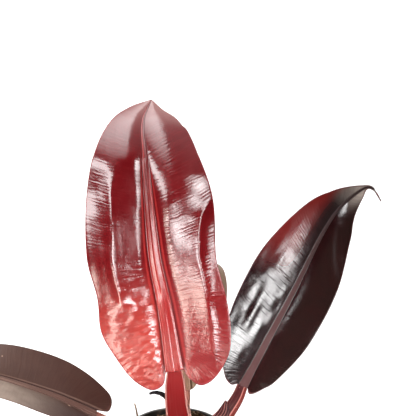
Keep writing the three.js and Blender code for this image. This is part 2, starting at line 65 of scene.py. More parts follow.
NEWEST_LEAF = {
    "midrib": [(0, 6, 138), (-7, 15, 188), (-15, 27, 227), (-20, 45, 272), (-23, 62, 302), (-25, 82, 322),
               (-19, 104, 333)],
    "across": [(1, 0.03, 0), (1, 0, 0), (1, 0.05, 0)],
    "margin": {
        -1: [(0, 7), (-0.045, 11), (-0.055, 21), (-0.005, 34), (0.08, 44.5), (0.19, 53), (0.33, 50.5),
             (0.45, 53), (0.65, 48.5), (0.82, 37), (0.94, 16), (0.972, 9), (1, 0.6)],
        1: [(0, 7), (-0.035, 11), (-0.065, 20), (-0.035, 33), (0.05, 46), (0.18, 50), (0.36, 48),
            (0.6, 50.5), (0.8, 39), (0.93, 28.5), (0.972, 11), (1, 0.6)],
    },
    "rib": [7.2, 6.4, 5.6, 5, 4.3, 3.1, 1.6, 0.5],
    "keel": [8, 5.4, 4, 3.1, 2.3, 1.5, 0.8, 0.3],
    "fold": {-1: [24, 20, 14, 14], 1: [24, 20, 14, 14]},
    "curl": {-1: [-6, -14, -14, -24], 1: [-10, -18, -16, -24]},
    "swells": [(-1, 2.5, 0.2, 0.35), (-1, -2.5, 0.5, 0.35), (1, 2, 0.1, 0.3), (1, -2.5, 0.35, 0.35)],
    "rows": 260,
    "channel": (3.0, 5.5),
    "creases": [
        {"side": -1, "path": [(0.28, 32), (0.42, 33.5), (0.6, 30), (0.74, 27)],
         "turn": -28, "spread": (17, 13)},
        {"side": -1, "path": [(-0.02, 31), (0.1, 25), (0.22, 22.5), (0.32, 22.5)],
         "turn": -9, "spread": (9, 9)},
        {"side": 1, "path": [(-0.02, 34), (0.2, 35), (0.4, 35), (0.48, 37), (0.54, 41), (0.6, 50)],
         "turn": -26, "spread": (14, 6.5)},
        {"side": 1, "path": [(0.26, 35), (0.4, 35), (0.48, 37), (0.54, 41), (0.6, 50)],
         "turn": -11, "spread": (0.5, 9)},
    ],
    "crinkles": [
        {"side": -1, "centre": (0.16, 34), "reach": (0.16, 16), "height": 0.42, "grain": (5, 8), "seed": 3},
        {"side": -1, "centre": (0.1, 17), "reach": (0.16, 9), "height": 0.3, "grain": (3.2, 8), "seed": 5},
        {"side": -1, "centre": (0.08, 28), "reach": (0.24, 24), "height": 0.27, "grain": (2.6, 4.2),
         "seed": 6},
        {"side": -1, "centre": (0, 20), "reach": (0.12, 18), "height": 0.34, "grain": (5, 4), "seed": 8},
        {"side": 1, "centre": (0.05, 28), "reach": (0.12, 16), "height": 0.12, "grain": (6, 12), "seed": 7},
        {"side": -1, "centre": (0.5, 40), "reach": (0.25, 14), "height": 0.3, "grain": (18, 9), "seed": 9},
        {"side": -1, "centre": (0.5, 32), "reach": (0.35, 26), "height": 0.12, "grain": (50, 3), "seed": 21},
        {"side": 1, "centre": (0.5, 30), "reach": (0.35, 26), "height": 0.04, "grain": (50, 3.4), "seed": 25},
    ],
}

RIGHT_LEAF = {
    "midrib": [(55.3, 18, 116), (73, 30, 147.5), (96, 46, 188), (120, 64, 233), (135, 74, 252),
               (153, 85, 262.5), (162, 89, 261), (170, 93, 248)],
    "across": [(0.85, 0.1, -0.5), (0.85, 0, -0.5), (0.5, 0.1, -0.85)],
    "margin": {
        -1: [(0, 5), (-0.012, 11), (0.012, 20.5), (0.085, 31), (0.25, 42), (0.48, 42.5), (0.68, 29.5),
             (0.78, 16.5), (0.86, 6), (0.9, 1.9), (0.95, 1.4), (1, 0.6)],
        1: [(0, 4.5), (-0.015, 7), (-0.012, 10.5), (0.025, 16.5), (0.08, 23), (0.25, 32), (0.48, 31.5),
            (0.68, 23), (0.78, 14.5), (0.86, 7), (0.9, 1.9), (0.95, 1.4), (1, 0.6)],
    },
    "rib": [4.6, 3.4, 2.9, 2.4, 2, 1.6, 1.2, 0.5],
    "keel": [7, 4, 3, 2.4, 1.8, 1.2, 0.8, 0.3],
    "fold": {-1: [18, 18, 18], 1: [18, 18, 18]},
    "curl": {-1: [6, 0, 6], 1: [6, 0, 6]},
    "swells": [(-1, -2, 0.05, 0.35), (1, 2, 0.3, 0.35)],
    "rows": 240,
    "channel": (0.1, 1.6),
    "creases": [],
    "crinkles": [
        {"side": -1, "centre": (0.32, 24), "reach": (0.28, 18), "height": 0.45, "grain": (12, 6), "seed": 13},
    ],
}

LEFT_LEAF = {
    "midrib": [(-64, 0, 100), (-83, -1, 112), (-102, -2, 122), (-140, -4, 138), (-178, -6, 149),
               (-213, -8, 152), (-238, -9, 149)],
    "across": [(0, 1, 0.2), (0, 1, 0.2), (0, 1, 0.2)],
    "margin": {
        -1: [(0, 5), (-0.05, 11), (-0.03, 22), (0.18, 32), (0.45, 32), (0.7, 22), (0.9, 7), (0.96, 2),
             (1, 0.6)],
        1: [(0, 5), (-0.055, 10), (-0.02, 24), (0.2, 33.5), (0.45, 31.5), (0.7, 21), (0.9, 7),
            (0.96, 2), (1, 0.6)],
    },
    "rib": [4.6, 3.2, 2.6, 2, 1.2, 0.5],
    "keel": [7, 4, 3, 2, 1, 0.3],
    "fold": {-1: [22, 21, 19], 1: [30, 27, 22]},
    "curl": {-1: [10, 9, 9], 1: [16, 14, 14]},
    "swells": [(-1, 2, 0.2, 0.4), (1, -2, 0.4, 0.4)],
    "rows": 200,
    "channel": (0.8, 2.2),
    "creases": [],
    "crinkles": [
        {"side": 1, "centre": (0.2, 20), "reach": (0.3, 16), "height": 0.25, "grain": (14, 10), "seed": 17},
    ],
}

BACK_MARGIN = [(0, 5), (0.015, 8), (0.06, 13), (0.13, 21), (0.25, 28), (0.5, 31), (0.75, 21), (0.92, 6),
               (0.96, 2), (1, 0.6)]
BACK_LEAF = {
    "midrib": [(8, 22, 110), (9, 40, 143), (11, 62, 169), (13, 92, 182), (15, 125, 172), (17, 152, 148)],
    "across": [(1, 0, 0), (1, 0, 0), (1, 0, 0)],
    "margin": {-1: BACK_MARGIN, 1: BACK_MARGIN},
    "rib": [4.6, 3.2, 2.6, 2, 1.2, 0.5],
    "keel": [7, 4, 3, 2, 1, 0.3],
    "fold": {-1: [14, 12, 10], 1: [14, 12, 10]},
    "curl": {-1: [0, -4, -8], 1: [0, -4, -8]},
    "swells": [(-1, 2, 0.15, 0.4), (1, -2, 0.4, 0.4)],
    "rows": 180,
    "channel": (0.8, 2.2),
    "creases": [],
    "crinkles": [
        {"side": 1, "centre": (0.4, 18), "reach": (0.3, 14), "height": 0.3, "grain": (12, 9), "seed": 19},
    ],
}

# Where the side veins run, how the midrib stands out, and how the fine surface is shaped.

VEIN_SWEEP = 1.3
VEIN_BEND = 1.4
LOBE_BEND = 1.2
LOBE_SHARE = 0.15
RIB_RISE = 0.7
RIB_SHOULDER = 0.78
FULL_RIB = 4
RIB_LIMIT = 0.8
EDGE_SHARE = 0.35
EDGE_TAPER = 1.2
CHANNEL_END = (0.6, 0.95)
CRINKLE_START = (0, 5)
CREASE_SOFTNESS = 0.6
CREASE_START = (-0.03, 0.05)
CREASE_END = (-0.1, 0.04)
CREASE_WANDER = {"size": 0.4, "pace": 20, "shift": 7, "seed": 33}
CREASE_FLICKER = {"size": 0.08, "pace": 9, "shift": 3, "seed": 35}
ROW_EASE = 1.15
RIB_COLUMNS = 8
HALF_COLUMNS = 46
COLUMN_EASE = 0.48

# Petiole shapes: a path along the middle of the flat upper face, then lists from foot to blade.

NEWEST_PETIOLE = {
    "path": [(4.2, 7, 80.3), (2.6, 6.8, 92), (1, 6.5, 106), (0.4, 5.8, 124)],
    "across": [(1, 0, 0), (1, 0.03, 0)],
    "width": [10.5, 9.8, 9.2, 8.7, 8, 6.2],
    "depth": [14, 12.5, 11, 10, 9.5, 8],
}
RIGHT_PETIOLE = {
    "path": [(13.5, 12, 72.5), (23, 11.5, 75.5), (32, 11.5, 81), (39.6, 12.5, 88.5), (46, 14.3, 97.5),
             (51.4, 16.3, 106.4)],
    "across": [(0.8, -0.4, -0.45), (0.75, -0.45, -0.45), (0.85, 0.1, -0.5)],
    "width": [9.5, 8.4, 7, 5.9, 5.3, 4.4],
    "depth": [10.5, 9.5, 8.8, 8.4, 8, 7],
}
LEFT_PETIOLE = {
    "path": [(3, 12, 73), (-12, 9, 81.5), (-32, 5, 86.5), (-52, 1.5, 92)],
    "across": [(0.2, 1, 0.1), (0, 1, 0.2)],
    "width": [10, 9, 7.4, 6.4, 5.6, 4.2],
    "depth": [11, 10.5, 9.5, 8.5, 8, 7],
}
BACK_PETIOLE = {
    "path": [(7, 15, 70), (6.5, 20, 80), (6, 21.5, 94)],
    "across": [(1, 0, 0), (1, 0, 0)],
    "width": [9, 7.6, 6.6, 6, 5.6, 4.4],
    "depth": [10, 9.5, 9, 8.5, 8, 7],
}
PETIOLE_FACE = [(-1, -0.6), (-0.97, 0.3), (-0.86, 0.4), (-0.76, -0.3), (0, -0.5), (0.76, -0.3),
                (0.86, 0.4), (0.97, 0.3), (1, -0.6)]
PETIOLE_RINGS = {"count": 90, "face": 45, "back": 28}
SHEATH = {"from": 0.12, "to": 0.7, "width": [7, 6.8, 6.2, 5.6, 4.7, 1.2], "rise": 1.7, "sink": 2.4,
          "overhang": 2.2, "rings": 50, "around": 40, "face_from": -0.3}

BRACT = {
    "path": [(-2, 18, 83), (-2.6, 17.5, 92), (-4.2, 16, 101), (-8, 14, 108.5), (-12.5, 12.5, 112.6),
             (-17, 11.5, 114), (-21, 10.5, 113.4)],
    "across": [(0.6, 0.8, 0), (0.4, 0.9, 0), (0, 1, 0.1)],
    "width": [3.6, 3.6, 3.4, 3, 2.7, 2.3, 1.5],
    "thickness": [1.6, 1.8, 2.3, 2.6, 2.3, 1.9, 1.4],
    "rings": 90, "around": 36, "squareness": 0.8, "fullness": 0.75, "hollow": 0.5,
    "ripple": {"size": 0.28, "pace": (30, 3), "seed": 23}, "frill": {"size": 0.08, "pace": 22, "seed": 29},
}

STEM = {"x": 7, "y": 12, "bottom": 40, "top": 80, "bottom_radius": 8.5, "top_radius": 11,
        "scar_step": 7, "scar_depth": 0.6, "knob_height": 0.25, "knob_reach": 2.2, "knob_pace": 5,
        "seed": 31, "rings": 90, "around": 64}

POT = {"height": 78, "rim_radius": 45, "band_height": 10.5, "mouth_radius": 43, "foot_radius": 32,
       "foot_round": 1.2, "lip_round": 0.9, "mouth_round": 0.4, "band_round": 0.5, "wall": 1.4,
       "floor": 1.8, "floor_rings": (0.01, 10, 20, 26), "drain_holes": 6, "drain_radius": 3.5,
       "drain_circle": 22.5, "drain_sides": 32, "drain_cut": (-2, 4), "sharp_angle": 35, "arc_steps": 7,
       "outer_steps": 14, "inner_steps": 20}

# The soil's heap and lumps are those of its solid. Its bank rises to the back rim, and its grain is
# noise of three sizes.

SOIL = {"level": 68, "heap": 6, "heap_toward": (0.75, 0.66), "heap_start": -0.2, "lumps": 60,
        "lump_heights": (0.9, 2.2), "lump_spreads": (2.8, 5), "seed": 11, "around": 300,
        "wall_rings": 6, "wall_top": 66.5, "surface_rings": 95, "middle_share": 0.004, "bank": 5,
        "bank_back": (12, 40), "bank_right": (-12, 14), "bank_left_share": 0.35, "sink": 0.8}
SOIL_GRAIN = [
    {"size": 3.1, "height": 0.9, "shift": 30, "seed": 41},
    {"size": 1.3, "height": 0.45, "shift": 40, "seed": 43},
    {"size": 0.6, "height": 0.22, "shift": 90, "seed": 47},
]
STEM_CLEARANCE = 2
CRUMB_CLEARANCE = 1
CRUMB_STRETCH = (0.6, 1)
CRUMB_TILT = 0.5
CRUMB_GRAIN = 0.25
CRUMBS = {"seed": 51, "radius": (0.5, 1.5), "flatness": 0.75, "lift": 0.25}
CHIPS = {"seed": 53, "radius": (1.2, 2.6), "flatness": 0.35, "lift": 0.35}
RIM_BITS = {"seed": 57, "radius": (0.4, 1.0), "flatness": 0.6, "lift": 0.5, "inner": 36, "arc": (48, 128)}
RIM_BIT_COUNT = 150
FIBRES = {
    "seed": 61, "inner": 4, "clearance": 3, "end_clearance": 1.5, "length": (5, 16),
    "radius": (0.09, 0.2), "stray": 1.6, "arch": (0.12, 0.4), "lift": 0.1, "end_lift": (0.1, 1.6),
    "rings": 12, "sides": 4, "taper": 0.5,
}
STANDING_FIBRES = {
    "start": [(-42, -1.5, 71), (-31.5, 28, 70.5)],
    "bend": [(-43.5, -2, 82), (-32.2, 28.5, 84)],
    "end": [(-41.5, -2.2, 88), (-34.4, 29, 92)],
    "radius": [0.25, 1.1],
}

# The floor's side in millimetres and the share of its colour that it sends back to the plant, and the
# camera, whose lens is its focal length over the width of the frame, both in pixels.

FLOOR_SIDE = 4000
FLOOR_BOUNCE = 0.2
CAMERA = {"place": (26.8, -906.31, 707.69), "tilt": 65, "focal_px": 1330, "frame_px": 416, "sensor": 36}

# The studio's lights, in metres and degrees. Each faces its aim, or else the newest leaf's middle. Its
# place is a point, or else degrees right of that leaf's front, degrees up, and the distance from it. Its
# radiance is one of the studio's settings times its share.

LEAF_MIDDLE = Vector((0.0, 0.03, 0.22))
WARM = (1, 0.86, 0.76)
PANELS = [
    {"name": "Ceiling light", "place": (-1.0, 0.9, 1.5), "aim": (-1.0, 0.9, 0.0), "size": (2.1, 4.2),
     "setting": "ceiling", "spread": 90},
    {"name": "Left panel", "from_leaf": (-40, 33, 1.2), "size": (0.85, 0.27), "setting": "left"},
    {"name": "Upper right panel", "place": (0.272, -0.302, 0.53), "aim": (0.02, 0.045, 0.27),
     "size": (0.17, 0.176), "setting": "right", "spread": 30},
    {"name": "Side panel", "place": (0.205, -0.34, 0.385), "aim": (0.015, 0.042, 0.24),
     "size": (0.1, 0.09), "setting": "right", "spread": 19},
    {"name": "Front panel", "place": (0.012, -0.241, 0.304), "aim": (-0.013, 0.04, 0.207),
     "size": (0.12, 0.1), "setting": "front", "share": 1.15, "spread": 26},
    {"name": "Middle front panel", "from_leaf": (-12, 11, 0.6), "size": (0.07, 0.07),
     "setting": "front", "share": 0.6, "spread": 120},
    {"name": "Lower front panel", "from_leaf": (-20, -6, 0.6), "size": (0.052, 0.26),
     "setting": "front", "share": 0.7, "spread": 120, "colour": WARM},
    {"name": "Low left panel", "from_leaf": (-17, 3, 1.0), "aim": (-0.01, 0, 0.12), "size": (0.32, 0.4),
     "setting": "low", "share": 1.2, "spread": 50, "colour": WARM},
    {"name": "Low panel", "place": (0.02, -0.44, 0.035), "aim": (-0.03, 0, 0.13), "size": (0.2, 0.06),
     "setting": "low", "spread": 26, "colour": WARM},
    {"name": "Right panel", "place": (0.2525, -0.24, 0.11), "aim": (0.0582, 0, 0.11),
     "size": (0.17, 0.16), "setting": "right", "share": 1.5, "spread": 36},
    {"name": "Foot panel", "place": (0.105, -0.3, 0.035), "aim": (-0.035, 0, 0.11), "size": (0.14, 0.06),
     "setting": "low", "spread": 44, "colour": WARM},
    {"name": "Lobe panel", "place": (-0.13, -0.28, 0.045), "aim": (-0.06, 0, 0.13), "size": (0.1, 0.08),
     "setting": "low", "share": 1.6, "spread": 60, "colour": WARM},
]


# Numbers, curves and directions


def unit(vectors):
    """Vectors of length one, in the same directions."""
    return vectors / np.linalg.norm(vectors, axis=-1, keepdims=True)


def smooth_step(low, high, value):
    """0 below low, 1 above high, and 3t^2 - 2t^3 between, where t is the share of the way."""
    share = np.clip((value - low) / (high - low), 0, 1)
    return share * share * (3 - 2 * share)


class Curve:
    """A smooth curve through points, which can be read by its length.

    Between two points it is the cubic whose slope at each is half of the way from the point before
    to the point after, and beyond the ends the points are mirrored.
    """

    def __init__(self, points, marks=400):
        self.points = np.asarray(points, float).reshape(len(points), -1)
        self.steps = np.linspace(0, 1, marks + 1)
        gaps = np.linalg.norm(np.diff(self.by_step(self.steps), axis=0), axis=1)
        self.lengths = np.concatenate([[0], np.cumsum(gaps)])
        self.length = self.lengths[-1]

    def by_step(self, step):
        """The curve at steps from 0 to 1, where each stretch between points takes as much."""
        p = self.points
        p = np.concatenate([[2 * p[0] - p[1]], p, [2 * p[-1] - p[-2]]])
        reach = np.clip(np.asarray(step, float), 0, 1) * (len(p) - 3)
        i = np.minimum(reach.astype(int), len(p) - 4)
        t = (reach - i)[..., None]
        start, end = p[i + 1], p[i + 2]
        leave, arrive = (end - p[i]) / 2, (p[i + 3] - start) / 2
        bend = -3 * start + 3 * end - 2 * leave - arrive
        return start + leave * t + bend * t**2 + (2 * start - 2 * end + leave + arrive) * t**3

    def step_at(self, share):
        """The steps at shares of the curve's length."""
        return np.interp(np.clip(share, 0, 1) * self.length, self.lengths, self.steps)

    def at(self, share):
        """The curve at shares of its length."""
        return self.by_step(self.step_at(share))

    def ahead(self, share, nudge=1e-3):
        """The curve's directions at shares of its length."""
        step = self.step_at(share)
        return unit(self.by_step(step + nudge) - self.by_step(step - nudge))


def smooth_value(values, step):
    """A smooth value at steps from 0 to 1 through a list of numbers."""
    return Curve(values, 2).by_step(step)[..., 0]


def smooth_direction(directions, step):
    """A smooth direction at steps from 0 to 1 through a list of directions."""
    return unit(Curve(directions, 2).by_step(step))


def square_to(direction, ahead):
    """Directions made square to the ways ahead."""
    return unit(direction - (direction * ahead).sum(-1, keepdims=True) * ahead)


def path_ways(path, directions, share):
    """The ways across, up and ahead at shares of a path, from a list of rough ways across it."""
    ahead = path.ahead(share)
    across = square_to(smooth_direction(directions, share), ahead)
    return across, np.cross(across, ahead), ahead


def clockwise(around):
    """Angles of the corners of a ring, in the turn that faces a tube outwards."""
    return -2 * np.pi * np.arange(around) / around


def value_noise(x, y, seed):
    """Smooth noise from -1 to 1: random numbers on a unit lattice, joined by 3t^2 - 2t^3."""
    lattice = np.random.default_rng(seed).uniform(-1, 1, (64, 64))
    i, j = np.floor(x).astype(int), np.floor(y).astype(int)
    u, v = smooth_step(0, 1, x - i), smooth_step(0, 1, y - j)
    near, far = lattice[i % 64, j % 64], lattice[(i + 1) % 64, j % 64]
    near_up, far_up = lattice[i % 64, (j + 1) % 64], lattice[(i + 1) % 64, (j + 1) % 64]
    low = near + (far - near) * u
    high = near_up + (far_up - near_up) * u
    return low + (high - low) * v


# Meshes


def new_piece(name, corners, faces, marks=None):
    """A smooth-shaded object of corners in millimetres and arrays of faces of three or four corners.

    marks are named vectors, one for each corner, which materials read.
    """
    mesh = bpy.data.meshes.new(name)
    corners = np.asarray(corners, float).reshape(-1, 3) * MM
    mesh.vertices.add(len(corners))
    mesh.vertices.foreach_set("co", corners.ravel())
    loops = np.concatenate([f.ravel() for f in faces])
    sizes = np.concatenate([np.full(len(f), f.shape[1]) for f in faces])
    mesh.loops.add(len(loops))
    mesh.loops.foreach_set("vertex_index", loops)
    mesh.polygons.add(len(sizes))
    mesh.polygons.foreach_set("loop_start", np.concatenate([[0], np.cumsum(sizes)[:-1]]))
    mesh.polygons.foreach_set("use_smooth", np.ones(len(sizes), bool))
    for label, values in (marks or {}).items():
        attribute = mesh.attributes.new(label, "FLOAT_VECTOR", "POINT")
        attribute.data.foreach_set("vector", np.asarray(values, float).ravel())
    mesh.update(calc_edges=True)
    mesh.validate()
    piece = bpy.data.objects.new(name, mesh)
    bpy.context.scene.collection.objects.link(piece)
    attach(piece, BODY)
    return piece


def dress(piece, material, node=None):
    """Gives a piece its material and its slot, and hides the solid that it covers, if any."""
    piece.data.materials.append(material)
    if node:
        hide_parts(node)


def grid_faces(numbers):
    """Quads of a grid of corner numbers, facing along columns crossed with rows."""
    a, b, c, d = numbers[:-1, :-1], numbers[:-1, 1:], numbers[1:, 1:], numbers[1:, :-1]
    return np.stack([a, b, c, d], -1).reshape(-1, 4)


def slab_piece(name, upper, lower, marks):
    """A closed slab between two grids of corners, joined by a wall round their edge."""
    rows, columns = upper.shape[:2]
    numbers = np.arange(rows * columns).reshape(rows, columns)
    edge = np.concatenate([numbers[0, :-1], numbers[:-1, -1], numbers[-1, :0:-1], numbers[:0:-1, 0]])
    after = np.roll(edge, -1)
    under = rows * columns
    wall = np.stack([after, edge, edge + under, after + under], -1)
    top = grid_faces(numbers)
    corners = np.concatenate([upper.reshape(-1, 3), lower.reshape(-1, 3)])
    return new_piece(name, corners, [top, top[:, ::-1] + under, wall], marks=marks)


def tube_shell(rings):
    """Corners and faces of a closed tube through rings of corners, with a fan at either end.

    The rings turn clockwise about the way they follow each other.
    """
    count, around = rings.shape[:2]
    numbers = np.arange(count * around).reshape(count, around)
    loop = np.concatenate([numbers, numbers[:, :1]], 1)
    ends = np.stack([rings[0].mean(0), rings[-1].mean(0)])
    corners = np.concatenate([rings.reshape(-1, 3), ends])
    first, last = np.full(around, count * around), np.full(around, count * around + 1)
    foot = np.stack([first, loop[0, 1:], loop[0, :-1]], -1)
    head = np.stack([last, loop[-1, :-1], loop[-1, 1:]], -1)
    return corners, grid_faces(loop), np.concatenate([foot, head])


def tube_piece(name, rings):
    """A closed tube through rings of corners."""
    corners, quads, fans = tube_shell(rings)
    return new_piece(name, corners, [quads, fans])


def ring_grid(place, across, up, x, y):
    """Rings of corners about a path: place + x * across + y * up."""
    return place[:, None] + across[:, None] * x[..., None] + up[:, None] * y[..., None]


def turned_rings(radii, heights, around, x=0.0, y=0.0):
    """Rings about an upright line through x, y: (x + r cos t, y + r sin t, height)."""
    turn = clockwise(around)
    places = x + radii * np.cos(turn), y + radii * np.sin(turn), heights
    return np.stack(np.broadcast_arrays(*places), -1)


def strewn_piece(name, base, base_faces, places, sizes, turns, marks, seed):
    """Copies of a small closed shape, each stretched, turned, roughened and put in its place.

    Each corner is turn * (size * corner * (1 + roughness)) + place, for all copies at once.
    """
    draws = np.random.default_rng(seed).uniform(-CRUMB_GRAIN, CRUMB_GRAIN, (len(places), len(base), 1))
    rough = 1 + draws
    corners = np.einsum("nij,nkj->nki", turns, base[None] * rough * sizes[:, None]) + places[:, None]
    shift = np.arange(len(places))[:, None, None] * len(base)
    faces = (base_faces[None] + shift).reshape(-1, base_faces.shape[1])
    spread = {key: np.repeat(values, len(base), 0) for key, values in marks.items()}
    return new_piece(name, corners, [faces], marks=spread)


def turn_matrices(angles):
    """Rotation matrices for rows of angles about X, Y and Z."""
    c, s = np.cos(angles), np.sin(angles)
    zero, one = np.zeros(len(angles)), np.ones(len(angles))
    about_x = np.stack([one, zero, zero, zero, c[:, 0], -s[:, 0], zero, s[:, 0], c[:, 0]], -1)
    about_y = np.stack([c[:, 1], zero, s[:, 1], zero, one, zero, -s[:, 1], zero, c[:, 1]], -1)
    about_z = np.stack([c[:, 2], -s[:, 2], zero, s[:, 2], c[:, 2], zero, zero, zero, one], -1)
    return np.einsum("nij,njk,nkl->nil", *(m.reshape(-1, 3, 3) for m in (about_z, about_y, about_x)))


def ball(around=6, rings=3):
    """A unit ball of few faces: rings of corners between two poles, and its triangles."""
    turn = np.arange(around) * 2 * math.pi / around
    tilt = np.pi * np.arange(1, rings + 1) / (rings + 1)
    ring = np.stack([np.sin(tilt)[:, None] * np.cos(turn), np.sin(tilt)[:, None] * np.sin(turn),
                     np.cos(tilt)[:, None] + 0 * turn], -1).reshape(-1, 3)
    corners = np.concatenate([ring, [(0, 0, 1), (0, 0, -1)]])
    numbers = np.arange(rings * around).reshape(rings, around)
    loop = np.concatenate([numbers, numbers[:, :1]], 1)
    quads = grid_faces(loop)[:, ::-1]
    faces = np.concatenate([quads[:, [0, 1, 2]], quads[:, [0, 2, 3]]])
    top, bottom = np.full(around, len(ring)), np.full(around, len(ring) + 1)
    north = np.stack([top, loop[0, :-1], loop[0, 1:]], -1)
    south = np.stack([bottom, loop[-1, 1:], loop[-1, :-1]], -1)
    return corners, np.concatenate([faces, north, south])


# Leaf blades


def blade_frame(leaf, along):
    """Where a blade's midrib is at millimetres along it, and its ways across and up.

    Past either end the midrib goes straight on. Up is across crossed with ahead.
    """
    curve = leaf["curve"]
    share = np.clip(along / curve.length, 0, 1)
    across, up, ahead = path_ways(curve, leaf["across"], share)
    place = curve.at(share) + ahead * (along - share * curve.length)[..., None]
    return place, across, up, ahead


def unevenness(noise_look, share):
    """Slow noise along a leaf: size * noise(share * pace + shift)."""
    draws = value_noise(share * noise_look["pace"] + noise_look["shift"], 0 * share, noise_look["seed"])
    return noise_look["size"] * draws


def crease_height(crease, share, distance):
    """A soft fold along a line, in millimetres: tan(turn) / 2 times a softened distance to the line.

    That is sqrt(d^2 + w^2) e^(-d^2 / (2 spread^2)), with one spread on either side of the line.
    """
    path = np.asarray(crease["path"], float)
    line = np.interp(share, path[:, 0], path[:, 1]) + unevenness(CREASE_WANDER, share)
    d = distance - line
    spread = np.where(d < 0, *crease["spread"])
    bend = np.sqrt(d**2 + CREASE_SOFTNESS**2) * np.exp(-((d / spread) ** 2) / 2)
    ends = smooth_step(*(path[0, 0] + np.array(CREASE_START)), share)
    ends = ends * (1 - smooth_step(*(path[-1, 0] + np.array(CREASE_END)), share))
    ends = ends * (1 + unevenness(CREASE_FLICKER, share))
    return math.tan(math.radians(crease["turn"])) * bend * ends / 2


def blade_relief(leaf, side, share, past, distance, reach, along):
    """Millimetres that the fine surface stands above the plain one.

    The sum of a channel beside the midrib, (1 - e^(-past / width)) (1 - reach^2), the folds left
    from the bud, and patches of noise as crinkles, each fading as e^(-d^2) from its centre.
    """
    rise, width = leaf["channel"]
    tip = 1 - smooth_step(*CHANNEL_END, share)
    height = rise * (1 - np.exp(-past / width)) * (1 - reach**2) * tip
    for crease in leaf["creases"]:
        if crease["side"] == side:
            height = height + crease_height(crease, share, distance)
    for patch in leaf["crinkles"]:
        if patch["side"] == side:
            near = ((share - patch["centre"][0]) / patch["reach"][0]) ** 2
            near = near + ((distance - patch["centre"][1]) / patch["reach"][1]) ** 2
            noise = value_noise(along / patch["grain"][0] + 20, distance / patch["grain"][1], patch["seed"])
            fade = np.exp(-near) * smooth_step(*CRINKLE_START, past)
            height = height + patch["height"] * noise * fade
    return height


def blade_body(leaf, share, column, rib, gap):
    """Millimetres of a blade above and below its middle surface.

    The slab thins to its edge by the square root of the gap to it, the midrib stands out above, and
    below it is half an ellipse.
    """
    body = leaf["thickness"] / 2 * np.clip(EDGE_SHARE + np.sqrt(np.maximum(gap, 0) / EDGE_TAPER), 0, 1)
    on_rib = np.minimum(column, 1)
    rise = RIB_RISE * (1 - smooth_step(RIB_SHOULDER, 1, on_rib)) * np.minimum(rib / FULL_RIB, 1)
    sink = smooth_value(leaf["keel"], share) * np.sqrt(1 - on_rib**2)
    return body + rise, body + sink


def blade_half(leaf, side, share, column):
    """One half of a blade as arrays over shares of the margin (rows) and columns from the midrib.

    A vein leaves the midrib at share^1.3 of its length and ends at the share of the margin. A
    column from 0 to 1 lies on the rib, and from 1 to 2 between the rib and the margin. Each half
    folds up from the rib by an angle that turns into the curl on its way out.
    """
    margin = leaf["margins"][side]
    length = leaf["curve"].length
    edge = margin.at(share)
    edge_along, edge_across = edge[:, :1], edge[:, 1:]
    share, column = share[:, None], column[None]
    start = length * share**VEIN_SWEEP
    rib = np.minimum(smooth_value(leaf["rib"], share), RIB_LIMIT * edge_across)
    distance = rib * np.minimum(column, 1) + (edge_across - rib) * np.maximum(column - 1, 0)
    reach = distance / edge_across
    past = np.maximum(distance - rib, 0)
    bend = VEIN_BEND + LOBE_BEND * (1 - np.minimum(share / LOBE_SHARE, 1))
    along = start + (edge_along - start) * (past / (edge_across - rib)) ** bend
    along_share = np.clip(along / length, 0, 1)
    fold = smooth_value(leaf["fold"][side], along_share)
    curl = smooth_value(leaf["curl"][side], along_share)
    angle = np.radians(fold + (curl - fold) * reach / 2)
    out = np.minimum(distance, rib) + past * np.cos(angle)
    height = past * np.sin(angle)
    for swell_side, swell, start_share, swell_length in leaf["swells"]:
        if swell_side == side:
            phase = np.clip((along_share - start_share) / swell_length, 0, 1)
            height = height + swell * reach**2 * np.sin(np.pi * phase) ** 2
    height = height + blade_relief(leaf, side, along / length, past, distance, reach, along)
    gap = edge_across - distance
    rise, sink = blade_body(leaf, share, column, rib, gap)
    place, across, up, _ = blade_frame(leaf, along)
    middle = place + across * (side * out)[..., None]
    return {
        "upper": middle + up * (height + rise)[..., None],
        "lower": middle + up * (height - sink)[..., None],
        "vein": share * length + 0 * distance,
        "signed": side * distance,
        "gap": gap,
        "along": along / length,
        "ratio": distance / rib,
    }


def blade_columns():
    """Columns from the midrib out, closer together at the rib's edge and at the margin."""
    rib = np.linspace(0, 1, RIB_COLUMNS + 1)
    share = np.linspace(0, 1, HALF_COLUMNS + 1)[1:]
    eased = share - COLUMN_EASE * np.sin(2 * np.pi * share) / (2 * np.pi)
    return np.concatenate([rib, 1 + np.clip(eased, 0, 1)])


def make_blade(name, node, leaf, thickness, material):
    """A blade as a closed slab of two halves joined along the midrib."""
    leaf = dict(leaf, thickness=thickness / MM, curve=Curve(leaf["midrib"]))
    length = leaf["curve"].length
    leaf["margins"] = {side: Curve([(x * length, y) for x, y in points])
                       for side, points in leaf["margin"].items()}
    share = np.linspace(0, 1, leaf["rows"] + 1) ** ROW_EASE
    columns = blade_columns()
    left = blade_half(leaf, -1, share, columns)
    right = blade_half(leaf, 1, share, columns)
    whole = {key: np.concatenate([left[key][:, :0:-1], right[key]], 1) for key in left}
    spot = np.stack([whole["along"], whole["ratio"], np.zeros_like(whole["along"])], -1)
    under = spot + (0, 0, 1)
    place = np.stack([whole["vein"] * MM, whole["signed"] * MM, whole["gap"] * MM], -1)
    marks = {
        "place": np.concatenate([place.reshape(-1, 3)] * 2),
        "spot": np.concatenate([spot.reshape(-1, 3), under.reshape(-1, 3)]),
    }
    dress(slab_piece(name, whole["upper"], whole["lower"], marks), material, node)


# Petioles, sheath and bract


def petiole_path(petiole, leaf):
    """The path of a petiole up to just short of its blade, and the blade's ways there."""
    leaf = dict(leaf, curve=Curve(leaf["midrib"]))
    place, across, up, ahead = (v[0] for v in blade_frame(leaf, np.zeros(1)))
    return Curve(list(petiole["path"]) + [tuple(place - FIT_GAP * ahead)]), across, up


